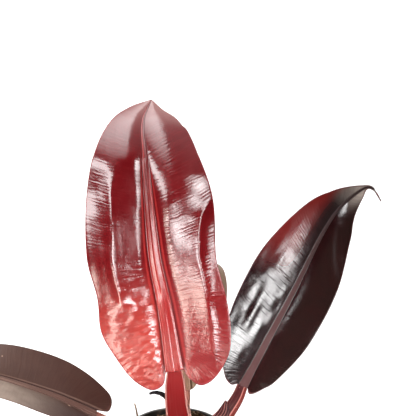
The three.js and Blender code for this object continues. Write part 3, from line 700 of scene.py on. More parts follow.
def tube_marks(x, facing, share, half, y, length):
    """The two marks of each corner of a tube.

    The first holds its share of the half width, its facing and its share of the length, and the
    second its metres along, across and up.
    """
    share = share[:, None] + 0 * x
    return np.stack([x / half, facing + 0 * x, share], -1), np.stack([share * length, x, y], -1) * MM


def petiole_rings(petiole, leaf):
    """Rings of a petiole: the flat face's outline, then half an ellipse as its back."""
    path, blade_across, blade_up = petiole_path(petiole, leaf)
    share = np.linspace(0, 1, PETIOLE_RINGS["count"])
    across, up, _ = path_ways(path, petiole["across"], share)
    across[-1], up[-1] = blade_across, blade_up
    face = Curve(PETIOLE_FACE, 2).by_step(np.linspace(0, 1, PETIOLE_RINGS["face"]))
    turn = np.pi * np.arange(1, PETIOLE_RINGS["back"]) / PETIOLE_RINGS["back"]
    edge = PETIOLE_FACE[0][1]
    width = smooth_value(petiole["width"], share)[:, None]
    depth = smooth_value(petiole["depth"], share)[:, None]
    x = np.concatenate([width * face[None, :, 0], width * np.cos(turn)[None]], 1)
    y = np.concatenate([face[None, :, 1] + 0 * width, edge - (depth + edge) * np.sin(turn)[None]], 1)
    facing = np.concatenate([np.ones(len(face)), np.zeros(len(turn))])[None]
    return ring_grid(path.at(share), across, up, x, y), *tube_marks(x, facing, share, width, y, path.length)


def sheath_rings(petiole, leaf):
    """Rings of the sheath wing along the left of the petiole's upper face: two half ellipses."""
    path, _, _ = petiole_path(petiole, leaf)
    step = np.linspace(0, 1, SHEATH["rings"])
    share = SHEATH["from"] + (SHEATH["to"] - SHEATH["from"]) * step
    across, up, _ = path_ways(path, petiole["across"], share)
    half = smooth_value(SHEATH["width"], step)
    outer = smooth_value(petiole["width"], share)
    place = path.at(share) + across * (np.minimum(half - outer, 0) - SHEATH["overhang"] * step)[:, None]
    turn = clockwise(SHEATH["around"])
    tall = np.where(np.sin(turn) > 0, SHEATH["rise"], SHEATH["sink"])
    x = half[:, None] * np.cos(turn)[None]
    y = (tall * np.sin(turn))[None] + 0 * x
    facing = 2.0 * (np.sin(turn) > SHEATH["face_from"])[None]
    return ring_grid(place, across, up, x, y), *tube_marks(x, facing, share, half[:, None], y, path.length)


def make_petiole(name, node, petiole, leaf, material, sheathed=False):
    """A petiole as a closed tube, with its sheath wing joined in where it has one."""
    shells = [petiole_rings(petiole, leaf)]
    if sheathed:
        shells.append(sheath_rings(petiole, leaf))
    corners, faces, spots, places = [], [], [], []
    for rings, spot, place in shells:
        shell, quads, fans = tube_shell(rings)
        shift = sum(len(c) for c in corners)
        corners.append(shell)
        faces += [quads + shift, fans + shift]
        for values, kept in ((spot, spots), (place, places)):
            kept += [values.reshape(-1, 3), values[0].mean(0)[None], values[-1].mean(0)[None]]
    marks = {"spot": np.concatenate(spots), "place": np.concatenate(places)}
    dress(new_piece(name, np.concatenate(corners), faces, marks), material, node)


def make_bract(material):
    """The dry bract: a thin strip, hollowed along its middle, that curls out to the left.

    Across it a corner is at sign(cos t) |cos t|^0.8, and noise ripples its faces and its edges.
    """
    path = Curve(BRACT["path"])
    share = np.linspace(0, 1, BRACT["rings"])
    across, up, _ = path_ways(path, BRACT["across"], share)
    half = smooth_value(BRACT["width"], share)[:, None]
    thick = smooth_value(BRACT["thickness"], share)[:, None] / 2
    turn = clockwise(BRACT["around"])
    flat = (np.sign(np.cos(turn)) * np.abs(np.cos(turn)) ** BRACT["squareness"])[None]
    ripple, frill = BRACT["ripple"], BRACT["frill"]
    along, across_pace = ripple["pace"]
    rise = ripple["size"] * value_noise(share[:, None] * along, flat * across_pace + 8, ripple["seed"])
    wave = frill["size"] * value_noise(share[:, None] * frill["pace"], np.sign(flat) + 4, frill["seed"])
    x = half * flat * (1 + wave)
    y = thick * (np.sin(turn)[None] * BRACT["fullness"] + rise - BRACT["hollow"] * (1 - flat**2))
    piece = tube_piece("curled_bract", ring_grid(path.at(share), across, up, x, y))
    dress(piece, material, "dry_bract")


# Stem, soil and pot


def make_stem(material):
    """The stem: rings about an upright line whose radius is waisted between scars, with low knobs."""
    z = np.linspace(STEM["bottom"], STEM["top"], STEM["rings"])
    share = (z - STEM["bottom"]) / (STEM["top"] - STEM["bottom"])
    waist = (1 - np.cos(2 * np.pi * (z - STEM["bottom"]) / STEM["scar_step"])) / 2
    radius = STEM["bottom_radius"] + (STEM["top_radius"] - STEM["bottom_radius"]) * share
    radius = (radius - STEM["scar_depth"] * waist)[:, None]
    turn = clockwise(STEM["around"])[None] * STEM["knob_pace"] + 40
    knobs = value_noise(turn, z[:, None] / STEM["knob_reach"], STEM["seed"])
    radius = radius + STEM["knob_height"] * knobs
    rings = turned_rings(radius, z[:, None], STEM["around"], STEM["x"], STEM["y"])
    dress(tube_piece("scarred_stem", rings), material, "stem")


def pot_inside(z):
    """The radius of the pot's inner wall at a height."""
    low = POT["foot_radius"] - POT["wall"]
    return low + (POT["mouth_radius"] - low) * (z - POT["floor"]) / (POT["height"] - POT["floor"])


def soil_lumps():
    """Places, heights and spreads of the soil's lumps, from one repeatable run of numbers."""
    state, rows = SOIL["seed"], []
    factor, modulus = 16807, 2147483647
    for _ in range(SOIL["lumps"]):
        draws = []
        for _ in range(4):
            state = state * factor % modulus
            draws.append(state / modulus)
        turn, radius = 2 * math.pi * draws[0], POT["mouth_radius"] * math.sqrt(draws[1])
        low, high = SOIL["lump_heights"]
        near, wide = SOIL["lump_spreads"]
        rows.append((radius * math.cos(turn), radius * math.sin(turn), low + (high - low) * draws[2],
                     near + (wide - near) * draws[3]))
    return np.array(rows)


def soil_height(x, y):
    """The soil's height: level, plus a heap to one side, plus e^(-d^2 / spread^2) for each lump."""
    toward = (x * SOIL["heap_toward"][0] + y * SOIL["heap_toward"][1]) / POT["mouth_radius"]
    height = SOIL["level"] + SOIL["heap"] * smooth_step(SOIL["heap_start"], 1, toward)
    for lump_x, lump_y, tall, spread in soil_lumps():
        height = height + tall * np.exp(-((x - lump_x) ** 2 + (y - lump_y) ** 2) / spread**2)
    return height


def rough_height(x, y):
    """The fine soil surface: the plain height, its bank, and noise of three sizes."""
    right = smooth_step(*SOIL["bank_right"], x)
    bank = SOIL["bank_left_share"] + (1 - SOIL["bank_left_share"]) * right
    height = soil_height(x, y) - SOIL["sink"] + SOIL["bank"] * smooth_step(*SOIL["bank_back"], y) * bank
    for grain in SOIL_GRAIN:
        u, v = (place / grain["size"] + grain["shift"] for place in (x, y))
        height = height + grain["height"] * value_noise(u, v, grain["seed"])
    return height


def make_soil(material):
    """The soil: rings from the pot's floor up its wall, then in over the rough surface."""
    bottom = POT["floor"] + FIT_GAP
    edge = pot_inside(SOIL["level"]) - FIT_GAP
    count = SOIL["wall_rings"]
    wall_z = np.linspace(bottom, SOIL["wall_top"], count)
    surface_radii = edge * np.linspace(1, SOIL["middle_share"], SOIL["surface_rings"])
    radii = np.concatenate([pot_inside(wall_z) - FIT_GAP, surface_radii])
    rings = turned_rings(radii[:, None], 0.0, SOIL["around"])
    rings[:count, :, 2] = wall_z[:, None]
    rings[count:, :, 2] = rough_height(rings[count:, :, 0], rings[count:, :, 1])
    dress(tube_piece("rough_soil", rings), material, "soil")


def strewn_places(count, seed, inner, outer, arc=(0, 360)):
    """Random places on the soil between two radii and two angles, clear of the stem's middle."""
    random = np.random.default_rng(seed)
    turn = random.uniform(*np.radians(arc), count)
    radius = np.sqrt(random.uniform(inner**2, outer**2, count))
    x, y = radius * np.cos(turn), radius * np.sin(turn)
    clear = np.hypot(x - STEM["x"], y - STEM["y"]) > STEM["top_radius"] + STEM_CLEARANCE
    return x[clear], y[clear], random


def make_crumbs(name, count, look, material):
    """Small rough lumps strewn over the soil, half sunk in it."""
    outer = pot_inside(SOIL["level"]) - CRUMB_CLEARANCE - look["radius"][1]
    x, y, random = strewn_places(count, look["seed"], look.get("inner", 1), outer, look.get("arc", (0, 360)))
    size = random.uniform(*look["radius"], len(x))
    stretch = np.stack([size, size * random.uniform(*CRUMB_STRETCH, len(x)), size * look["flatness"]], -1)
    tilts = [random.uniform(-CRUMB_TILT, CRUMB_TILT, len(x)) for _ in range(2)]
    angles = np.stack([*tilts, random.uniform(0, 6.28, len(x))], -1)
    places = np.stack([x, y, rough_height(x, y) + size * look["lift"]], -1)
    tones = [random.uniform(0, 1, len(x)) for _ in range(2)]
    marks = {"tone": np.stack([*tones, np.zeros(len(x))], -1)}
    base, faces = ball()
    piece = strewn_piece(name, base, faces, places, stretch, turn_matrices(angles), marks, look["seed"] + 1)
    dress(piece, material)


def fibre_rings(start, bend, end, radius):
    """Rings of thin tubes, for all fibres at once.

    Each follows the arc start (1 - t)^2 + 2 bend t (1 - t) + end t^2.
    """
    share = np.linspace(0, 1, FIBRES["rings"])[None, :, None]
    line = start[:, None] * (1 - share) ** 2 + 2 * bend[:, None] * share * (1 - share)
    line = line + end[:, None] * share**2
    ahead = unit(np.gradient(line, axis=1))
    across = square_to(np.zeros_like(ahead) + (0.3, 0.2, 0.93), ahead)
    up = np.cross(across, ahead)
    turn = clockwise(FIBRES["sides"])[None, None, :, None]
    thin = radius[:, None, None, None] * (1 - FIBRES["taper"] * share[..., None])
    return line[:, :, None] + thin * (across[:, :, None] * np.cos(turn) + up[:, :, None] * np.sin(turn))


def make_fibres(count, material):
    """Coir fibres that lie in low arcs on the soil, and a few that stand up at the rim."""
    edge = pot_inside(SOIL["level"])
    x, y, random = strewn_places(count, FIBRES["seed"], FIBRES["inner"], edge - FIBRES["clearance"])
    turn = random.uniform(0, 2 * math.pi, len(x))
    length = random.uniform(*FIBRES["length"], len(x))
    end_x, end_y = x + length * np.cos(turn), y + length * np.sin(turn)
    inside = np.hypot(end_x, end_y) < edge - FIBRES["end_clearance"]
    x, y, end_x, end_y, length = (v[inside] for v in (x, y, end_x, end_y, length))
    start = np.stack([x, y, rough_height(x, y) + FIBRES["lift"]], -1)
    end_z = rough_height(end_x, end_y) + random.uniform(*FIBRES["end_lift"], len(x))
    end = np.stack([end_x, end_y, end_z], -1)
    stray = [random.normal(0, FIBRES["stray"], len(x)) for _ in range(2)]
    bend = (start + end) / 2 + np.stack([*stray, length * random.uniform(*FIBRES["arch"], len(x))], -1)
    lying = {"start": start, "bend": bend, "end": end, "radius": random.uniform(*FIBRES["radius"], len(x))}
    rings = fibre_rings(*(np.concatenate([lying[key], STANDING_FIBRES[key]]) for key in lying))
    count, steps, around = rings.shape[:3]
    corners, quads, fans = tube_shell(rings[0])
    shift = np.arange(count)[:, None, None] * len(corners)
    ends = np.stack([rings[:, 0].mean(1), rings[:, -1].mean(1)], 1)
    corners = np.concatenate([rings.reshape(count, steps * around, 3), ends], 1)
    faces = [(quads[None] + shift).reshape(-1, 4), (fans[None] + shift).reshape(-1, 3)]
    dress(new_piece("coir_fibres", corners, faces), material)


def pot_profile():
    """The pot's closed outline as radii and heights: out under the floor, up, over the lip and in."""
    height, rim, soft = POT["height"], POT["rim_radius"], POT["band_round"]
    band_foot = height - POT["band_height"]
    lip, foot, edge = POT["lip_round"], POT["foot_round"], POT["mouth_round"]
    arc = np.linspace(0, math.pi / 2, POT["arc_steps"])
    outer_z = np.linspace(foot, band_foot, POT["outer_steps"])[1:]
    inner_z = np.linspace(height - edge, POT["floor"], POT["inner_steps"])
    under = [(radius, 0) for radius in POT["floor_rings"]]
    base = [(POT["foot_radius"] - foot + foot * math.sin(a), foot - foot * math.cos(a)) for a in arc]
    wall = [(pot_inside(z) + POT["wall"], z) for z in outer_z]
    band = [(rim - soft, band_foot), (rim - soft * 0.3, band_foot + soft * 0.3), (rim, band_foot + soft)]
    outer = [(rim - lip + lip * math.cos(a), height - lip + lip * math.sin(a)) for a in arc]
    mouth = [(POT["mouth_radius"] + edge, height)]
    inner = [(pot_inside(z), z) for z in inner_z]
    floor = [(radius, POT["floor"]) for radius in reversed(POT["floor_rings"])]
    return np.array(under + base + wall + band + outer + mouth + inner + floor)


def make_drain_cutter():
    """A ring of upright rods, to be cut out of the pot's floor."""
    angles = 2 * np.pi * (np.arange(POT["drain_holes"]) + 0.5) / POT["drain_holes"]
    corners, faces = [], []
    for k, angle in enumerate(angles):
        x, y = POT["drain_circle"] * math.cos(angle), POT["drain_circle"] * math.sin(angle)
        heights = np.array(POT["drain_cut"], float)[:, None]
        shell, sides, ends = tube_shell(turned_rings(POT["drain_radius"], heights, POT["drain_sides"], x, y))
        corners.append(shell)
        faces += [sides + k * len(shell), ends + k * len(shell)]
    return new_piece("drain_cutter", np.concatenate(corners), faces)


def make_pot(segments, material):
    """The pot: its outline turned about the upright line, with drain holes cut through its floor."""
    profile = pot_profile()
    piece = tube_piece("nursery_pot", turned_rings(profile[:, :1], profile[:, 1:], segments))
    cutter = make_drain_cutter()
    cut = piece.modifiers.new("Drain holes", "BOOLEAN")
    cut.operation = "DIFFERENCE"
    cut.solver = "EXACT"
    cut.object = cutter
    dress(piece, material, "pot")
    with bpy.context.temp_override(object=piece, active_object=piece):
        bpy.ops.object.modifier_apply(modifier=cut.name)
    bpy.data.objects.remove(cutter)
    piece.data.shade_smooth()
    piece.data.set_sharp_from_angle(angle=math.radians(POT["sharp_angle"]))


# Material parts


def feed(tree, socket, value):
    """Sets a socket to a value, or links it to another node's socket."""
    if isinstance(value, bpy.types.NodeSocket):
        tree.links.new(value, socket)
    elif value is not None:
        socket.default_value = value


def add(tree, kind, *values, **settings):
    """A new node with its settings; values go to its inputs in turn, and None leaves one as it is."""
    node = tree.nodes.new("ShaderNode" + kind)
    for key, value in settings.items():
        setattr(node, key, value)
    for socket, value in zip(node.inputs, values):
        feed(tree, socket, value)
    return node


def work_out(tree, operation, *values):
    """The result of one step of arithmetic."""
    return add(tree, "Math", *values, operation=operation).outputs[0]


def product(tree, first, *others):
    """Values multiplied together."""
    for other in others:
        first = work_out(tree, "MULTIPLY", first, other)
    return first


def rest(tree, share):
    """What a share leaves of one."""
    return work_out(tree, "SUBTRACT", 1.0, share)


def ramp(tree, value, low, high, to_low=0.0, to_high=1.0):
    """A value mapped smoothly from one range to another; low may lie above high."""
    node = add(tree, "MapRange", value, low, high, to_low, to_high, interpolation_type="SMOOTHSTEP")
    return node.outputs[0]


def zone(tree, ways, ramps):
    """The share of a zone: ramps along some of the named ways, multiplied."""
    return product(tree, *(ramp(tree, ways[way], *limits) for way, *limits in ramps))


def blend(tree, share, first, second):
    """Two colours mixed by a share."""
    node = tree.nodes.new("ShaderNodeMix")
    node.data_type = "RGBA"
    feed(tree, node.inputs["Factor"], share)
    colours = [socket for socket in node.inputs if socket.type == "RGBA"]
    for socket, value in zip(colours, (first, second)):
        feed(tree, socket, (*value, 1) if isinstance(value, tuple) else value)
    return next(socket for socket in node.outputs if socket.type == "RGBA")


def layered(tree, colour, layers):
    """A colour with others laid over it in turn, each by a share."""
    for share, over in layers:
        colour = blend(tree, share, colour, over)
    return colour


def scaled(colour, factor):
    """A colour made darker or lighter."""
    return tuple(factor * c for c in colour)


def noise(tree, place, scale, detail, rough=0.5):
    """Soft noise from 0 to 1 at a place."""
    return add(tree, "TexNoise", place, None, scale, detail, rough).outputs[0]


def own_place(tree):
    """Places in the object's own frame."""
    return add(tree, "TexCoord").outputs["Object"]


def fine_lines(tree, along, across, fineness, detail):
    """Noise drawn out lengthwise into fine lines."""
    place = add(tree, "CombineXYZ", product(tree, along, LINE_PACE), product(tree, across, fineness), 0.0)
    return noise(tree, place.outputs[0], 1.0, detail)


def mark(tree, name):
    """The three numbers of a mesh's named vector."""
    node = add(tree, "Attribute", attribute_name=name)
    split = add(tree, "SeparateXYZ", node.outputs["Vector"])
    return split.outputs[0], split.outputs[1], split.outputs[2]


def bumps(tree, *layers):
    """A normal from heights, each with the metres that a height of 1 stands for."""
    normal = None
    for height, depth in layers:
        node = add(tree, "Bump")
        for label, value in (("Height", height), ("Distance", depth), ("Normal", normal)):
            feed(tree, node.inputs[label], value)
        normal = node.outputs[0]
    return normal


def new_group(name, inputs, outputs):
    """A node group of plain numbers: its tree, its inputs and its outputs."""
    tree = bpy.data.node_groups.new(name, "ShaderNodeTree")
    for label, default in inputs.items():
        socket = tree.interface.new_socket(name=label, in_out="INPUT", socket_type="NodeSocketFloat")
        socket.default_value = default
    for label in outputs:
        tree.interface.new_socket(name=label, in_out="OUTPUT", socket_type="NodeSocketFloat")
    return tree, tree.nodes.new("NodeGroupInput").outputs, tree.nodes.new("NodeGroupOutput").inputs


def use_group(tree, name, **values):
    """The outputs of a placed group whose named inputs are set."""
    node = tree.nodes.new("ShaderNodeGroup")
    node.node_tree = bpy.data.node_groups[name]
    for label, value in values.items():
        feed(tree, node.inputs[label], value)
    return node.outputs


def make_vein_group():
    """Side veins: ridges at even steps that wander, run in streaks and fade in patches, and slow pleats."""
    inputs = {"Along": 0.0, "Across": 0.0, "Spacing": 0.0019, "Wander": 0.5}
    tree, put, out = new_group("Side veins", inputs, ("Ridge", "Pleat"))
    place = add(tree, "CombineXYZ", put["Along"], put["Across"], 0.0).outputs[0]
    stray = product(tree, noise(tree, place, 110.0, 2.0), put["Wander"])
    phase = work_out(tree, "ADD", work_out(tree, "DIVIDE", put["Along"], put["Spacing"]), stray)
    wave = work_out(tree, "SINE", product(tree, phase, 2 * math.pi))
    streaks = add(tree, "CombineXYZ", phase, product(tree, put["Across"], 45.0), 0.0).outputs[0]
    streaks = ramp(tree, noise(tree, streaks, 1.0, 2.0), 0.3, 0.7, -1.6, 1.6)
    ridge = work_out(tree, "ADD", product(tree, wave, 0.45), streaks)
    patchy = ramp(tree, noise(tree, place, 60.0, 2.0), 0.25, 0.75, 0.35, 1.0)
    feed(tree, out["Ridge"], product(tree, ridge, patchy))
    feed(tree, out["Pleat"], work_out(tree, "SINE", product(tree, phase, 2 * math.pi / VEINS_TO_A_PLEAT)))


def make_skin_group():
    """Skin: fine swells with a grain on them, and a slow mottle for the colours."""
    tree, put, out = new_group("Skin", {"Scale": 1.0}, ("Height", "Mottle"))
    place = add(tree, "VectorMath", own_place(tree), None, None, put["Scale"], operation="SCALE").outputs[0]
    swell = product(tree, noise(tree, place, 230.0, 4.0), 0.7)
    grain = product(tree, noise(tree, place, 900.0, 2.0), 0.3)
    feed(tree, out["Height"], work_out(tree, "ADD", swell, grain))
    feed(tree, out["Mottle"], noise(tree, place, 55.0, 5.0, 0.6))


def make_fleck_group():
    """Flecks: a spot in the middle of a chosen share of the cells of a Voronoi pattern."""
    tree, put, out = new_group("Flecks", {"Scale": 260.0, "Share": 0.1, "Size": 0.2}, ("Mask",))
    cells = add(tree, "TexVoronoi", own_place(tree), None, put["Scale"])
    red = add(tree, "SeparateColor", cells.outputs["Color"]).outputs[0]
    near = ramp(tree, work_out(tree, "DIVIDE", cells.outputs["Distance"], put["Size"]), 1.0, 0.6)
    feed(tree, out["Mask"], product(tree, work_out(tree, "LESS_THAN", red, put["Share"]), near))


def make_groups():
    """The effects that more than one material uses."""
    make_vein_group()
    make_skin_group()
    make_fleck_group()


def flecked(tree, colour, look):
    """A colour with a look's flecks strewn over it."""
    share, size = look["fleck_share"], look["fleck_size"]
    flecks = use_group(tree, "Flecks", Scale=look["fleck_scale"], Share=share, Size=size)
    return blend(tree, product(tree, flecks["Mask"], look["fleck_strength"]), colour, look["fleck"])


def new_material(name):
    """An empty material and its node tree."""
    material = bpy.data.materials.new(name)
    material.use_nodes = True
    return material, material.node_tree


def set_surface(material, colour, roughness, specular, normal=None):
    """Gives a material its colour, gloss and relief."""
    tree = material.node_tree
    inputs = tree.nodes["Principled BSDF"].inputs
    feed(tree, inputs["Base Color"], colour)
    feed(tree, inputs["Roughness"], roughness)
    feed(tree, inputs["Normal"], normal)
    inputs["Specular IOR Level"].default_value = specular
    return material


# Leaf materials


def blade_parts(tree, look, spacing):
    """What a blade's look is made of: places on it, its zones, its lines, veins and skin."""
    vein, across, gap = mark(tree, "place")
    along, ratio, under = mark(tree, "spot")
    skin = use_group(tree, "Skin", Scale=1.0)
    veins = use_group(tree, "Side veins", Along=vein, Across=across, Spacing=spacing, Wander=look["wander"])
    parts = {
        "along": along, "across": across, "ratio": ratio, "gap": gap, "under": under,
        "ridge": veins["Ridge"], "pleat": veins["Pleat"], "skin": skin["Height"], "mottle": skin["Mottle"],
        "strands_and_glints": fine_lines(tree, vein, across, *RIB_STRANDS),
    }
    zones = {name: zone(tree, parts, ramps) for name, ramps in BLADE_ZONES.items()}
    return {**parts, **zones}


def blade_colour(tree, look, parts):
    """A blade's colour from notch to tip, then what lies over it, from patches to the margin's line. The line
    is a painted rim highlight, the rib's lines, edges and shoulders carry painted glints, the grooves painted
    shade, and some tips and patches painted sheen.
    """
    painted_glint_share = look["painted_glint_share"]
    rib = blend(tree, ramp(tree, parts["along"], 0.0, 0.9), look["rib_foot"], look["rib_tip"])
    # The rib's paler lengthwise lines and its edges are painted glints.
    rib = layered(tree, rib, [
        (ramp(tree, parts["strands_and_glints"], 0.52, 0.68, 0.0, painted_glint_share), look["painted_glint"]),
        (product(tree, parts["rib_edge_glint"], painted_glint_share), look["painted_glint"]),
    ])
    # The paler line along the margin is a painted rim highlight.
    line = ramp(tree, parts["gap"], look["line"], look["line"] * RIM_HIGHLIGHT_CORE)
    colour = blend(tree, ramp(tree, parts["along"], 0.0, 0.5), look["foot"], look["middle"])
    colour = layered(tree, colour, [
        # A paler tip colour is a painted sheen on the newest leaf and a painted highlight on the right leaf.
        (ramp(tree, parts["along"], look["tip_from"], 1.0), look["tip"]),
        # Some looks' patches hold a painted haze of reflected light.
        *((zone(tree, parts, ramps), patch) for patch, ramps in look["patches"]),
        (ramp(tree, parts["mottle"], 0.35, 0.7, 0.0, look["mottling"]), look["mottle"]),
        (ramp(tree, parts["ridge"], -1.0, 1.0, 0.0, look["vein_tint"]), look["vein"]),
        *((zone(tree, parts, ramps), patch) for patch, ramps in look["upper_patches"]),
        (parts["rib"], rib),
        # The darker grooves beside the rib are painted shade.
        (product(tree, parts["groove_shade"], look["groove_shade_share"]), look["groove_shade"]),
        # The paler shoulders beyond the grooves are painted highlights.
        (product(tree, parts["shoulder_highlight"], painted_glint_share), look["painted_glint"]),
        (product(tree, line, look["line_share"]), look["margin"]),
    ])
    return blend(tree, parts["under"], flecked(tree, colour, look), look["under"])


def blade_roughness(tree, look, parts):
    """A blade's roughness, with more or less of it below, on the midrib and on the right half."""
    low, high = look["roughness"] - 0.04, look["roughness"] + 0.05
    dull = ramp(tree, parts["mottle"], 0.3, 0.75, low, high)
    right = product(tree, parts["right"], rest(tree, parts["rib"]))
    changes = ((parts["under"], UNDER_DULL), (parts["rib"], look["rib_dull"]), (right, look["right_dull"]))
    for share, change in changes:
        dull = work_out(tree, "ADD", dull, product(tree, share, change))
    return dull


def blade_normal(tree, look, parts):
    """A blade's relief: side veins, pleats, the midrib's strands and the skin."""
    low, high = look["ridge_sides"]
    ridges = product(
        tree, parts["ridge"], parts["blade"], rest(tree, product(tree, parts["under"], 0.6)),
        ramp(tree, parts["across"], -0.002, 0.002, low, high),
        ramp(tree, parts["along"], 0.1, 0.35, look["foot_ridge"], 1.0))
    strands_and_glints = product(tree, parts["strands_and_glints"], parts["inner_rib"])
    skin = product(tree, parts["skin"], ramp(tree, parts["along"], 0.1, 0.45, look["foot_crinkle"], 1.0))
    return bumps(
        tree, (ridges, look["ridge_depth"]), (parts["pleat"], look["pleat_depth"]),
        (strands_and_glints, look["strand_depth"]), (skin, look["skin_depth"]))


def blade_material(name, look, spacing):
    """A leaf blade, whose side veins lie at a spacing in metres."""
    material, tree = new_material(name)
    parts = blade_parts(tree, look, spacing)
    return set_surface(material, blade_colour(tree, look, parts), blade_roughness(tree, look, parts),
                       look["specular"], blade_normal(tree, look, parts))


def sheath_colour(tree, look, face, lines, ratio, facing):
    """A petiole's face with a lit flank, a pale seam and the wing of its sheath."""
    seam = work_out(tree, "ABSOLUTE", work_out(tree, "SUBTRACT", ratio, look["seam"]))
    wing = blend(tree, ramp(tree, lines, 0.48, 0.6, 0.0, 0.7), look["face_foot"], look["margin"])
    return layered(tree, face, [
        (ramp(tree, ratio, look["seam"] - 0.02, look["seam"] + 0.04), look["flank"]),
        (ramp(tree, seam, *look["seam_width"]), look["margin"]),
        (ramp(tree, facing, 1.4, 1.6), wing),
    ])


def petiole_material(name, look):
    """A petiole: a flat face between two pale margins, a paler back, and fine lengthwise lines."""
    material, tree = new_material(name)
    along, across, _ = mark(tree, "place")
    ratio, facing, share = mark(tree, "spot")
    skin = use_group(tree, "Skin", Scale=1.3)
    lines = fine_lines(tree, along, across, *PETIOLE_LINES)
    outer = ramp(tree, work_out(tree, "ABSOLUTE", ratio), look["edge"], look["edge"] + 0.08)
    face = blend(tree, ramp(tree, share, 0.2, 1.0), look["face_foot"], look["face"])
    face = layered(tree, face, [
        (product(tree, outer, look["edge_share"]), look["margin"]),
        (ramp(tree, lines, 0.54, 0.68, 0.0, look["line_share"]), look["margin"]),
    ])
    if "seam" in look:
        face = sheath_colour(tree, look, face, lines, ratio, facing)
    back = blend(tree, ramp(tree, skin["Mottle"], 0.3, 0.7), look["back"], look["back_deep"])
    colour = blend(tree, work_out(tree, "MINIMUM", facing, 1.0), back, face)
    low, high = look["roughness"] - 0.05, look["roughness"] + 0.08
    normal = bumps(tree, (lines, look["line_depth"]), (skin["Height"], look["skin_depth"]))
    return set_surface(material, flecked(tree, colour, look), ramp(tree, skin["Mottle"], 0.3, 0.7, low, high),
                       look["specular"], normal)


# Other materials


def soil_material(name, tones):
    """Coir mix: dark and light browns in patches, matt, with a grainy surface."""
    material, tree = new_material(name)
    place = own_place(tree)
    colour = layered(tree, tones[0], [
        (ramp(tree, noise(tree, place, 240.0, 6.0, 0.65), 0.3, 0.6), tones[1]),
        (ramp(tree, noise(tree, place, 620.0, 4.0), 0.58, 0.7), tones[2]),
    ])
    return set_surface(material, colour, 0.95, 0.2, bumps(tree, (noise(tree, place, 900.0, 5.0), 0.0006)))


def crumb_material(name, tones):
    """Crumbs: one of three tones for each crumb, with a fine grain."""
    material, tree = new_material(name)
    place = own_place(tree)
    first, second, _ = mark(tree, "tone")
    colour = layered(tree, tones[0], [
        (ramp(tree, first, 0.2, 0.8), tones[1]),
        (ramp(tree, second, 0.86, 0.92), tones[2]),
        (ramp(tree, noise(tree, place, 700.0, 4.0), 0.3, 0.7, 0.0, 0.5), tones[0]),
    ])
    return set_surface(material, colour, 0.9, 0.2, bumps(tree, (noise(tree, place, 1300.0, 4.0), 0.0003)))


def pot_material(name, grey, dust):
    """Moulded dark plastic: pale scuffs, soil dust that thickens towards the rim, and a painted highlight
    along the top of the lip.
    """
    material, tree = new_material(name)
    place = own_place(tree)
    height = add(tree, "SeparateXYZ", place).outputs[2]
    patches = noise(tree, place, 90.0, 6.0, 0.65)
    dusty = product(tree, ramp(tree, patches, 0.48, 0.72), ramp(tree, height, 0.055, 0.079, 0.1, 1.0))
    # A pale band along the top of the lip, broken up by patches, is a painted highlight.
    lip_highlight = product(tree, ramp(tree, height, 0.0768, 0.0778), ramp(tree, patches, 0.35, 0.6, 0.3, 1.0))
    colour = layered(tree, grey, [
        (ramp(tree, noise(tree, place, 30.0, 3.0), 0.3, 0.7, 0.0, 0.35), scaled(grey, 1.5)),
        (product(tree, dusty, 0.75), dust),
        (lip_highlight, scaled(grey, 7)),
    ])
    normal = bumps(tree, (noise(tree, place, 1500.0, 3.0), 0.00006), (patches, 0.0002))
    return set_surface(material, colour, ramp(tree, dusty, 0.0, 0.6, 0.45, 0.8), 0.3, normal)


def plain_material(name, look):
    """Two colours in patches over a bumpy surface, for the bract, the stem and the fibres."""
    material, tree = new_material(name)
    place = own_place(tree)
    patches = noise(tree, place, look["scale"], 5.0, 0.6)
    colour = blend(tree, ramp(tree, patches, 0.35, 0.65), *look["colours"])
    normal = bumps(tree, (noise(tree, place, look["scale"] * 3, 4.0), look["depth"]))
    return set_surface(material, colour, look["roughness"], look["specular"], normal)


# How each piece looks. Colours are linear and lengths are metres. A zone or a patch is a product of smooth
# ramps, each from its first limit to its second: along runs from the notch to the tip, across is metres
# right of the midrib, and ratio is the distance from the midrib's middle over half its width.

LINE_PACE = 14.0
RIB_STRANDS = (620.0, 1.0)
PETIOLE_LINES = (750.0, 2.0)
VEINS_TO_A_PLEAT = 5.3
# How much of the margin's painted rim highlight, from the edge in, is at full strength.
RIM_HIGHLIGHT_CORE = 0.45
UNDER_DULL = 0.22
BLADE_ZONES = {
    "rib": [("ratio", 1.02, 0.86)],
    "inner_rib": [("ratio", 1.0, 0.86)],
    # The rib's edges are a zone of painted glints.
    "rib_edge_glint": [("ratio", 0.84, 0.92), ("along", 0.75, 0.55)],
    # The grooves beside the rib are a zone of painted shade.
    "groove_shade": [("ratio", 0.98, 1.06), ("ratio", 1.5, 1.15)],
    # The shoulders beyond the grooves are a zone of painted highlights.
    "shoulder_highlight": [("ratio", 1.3, 1.5), ("ratio", 1.85, 1.6), ("along", 0.8, 0.6)],
    "blade": [("ratio", 1.0, 1.6)],
    "right": [("across", 0.0, 0.001)],
}
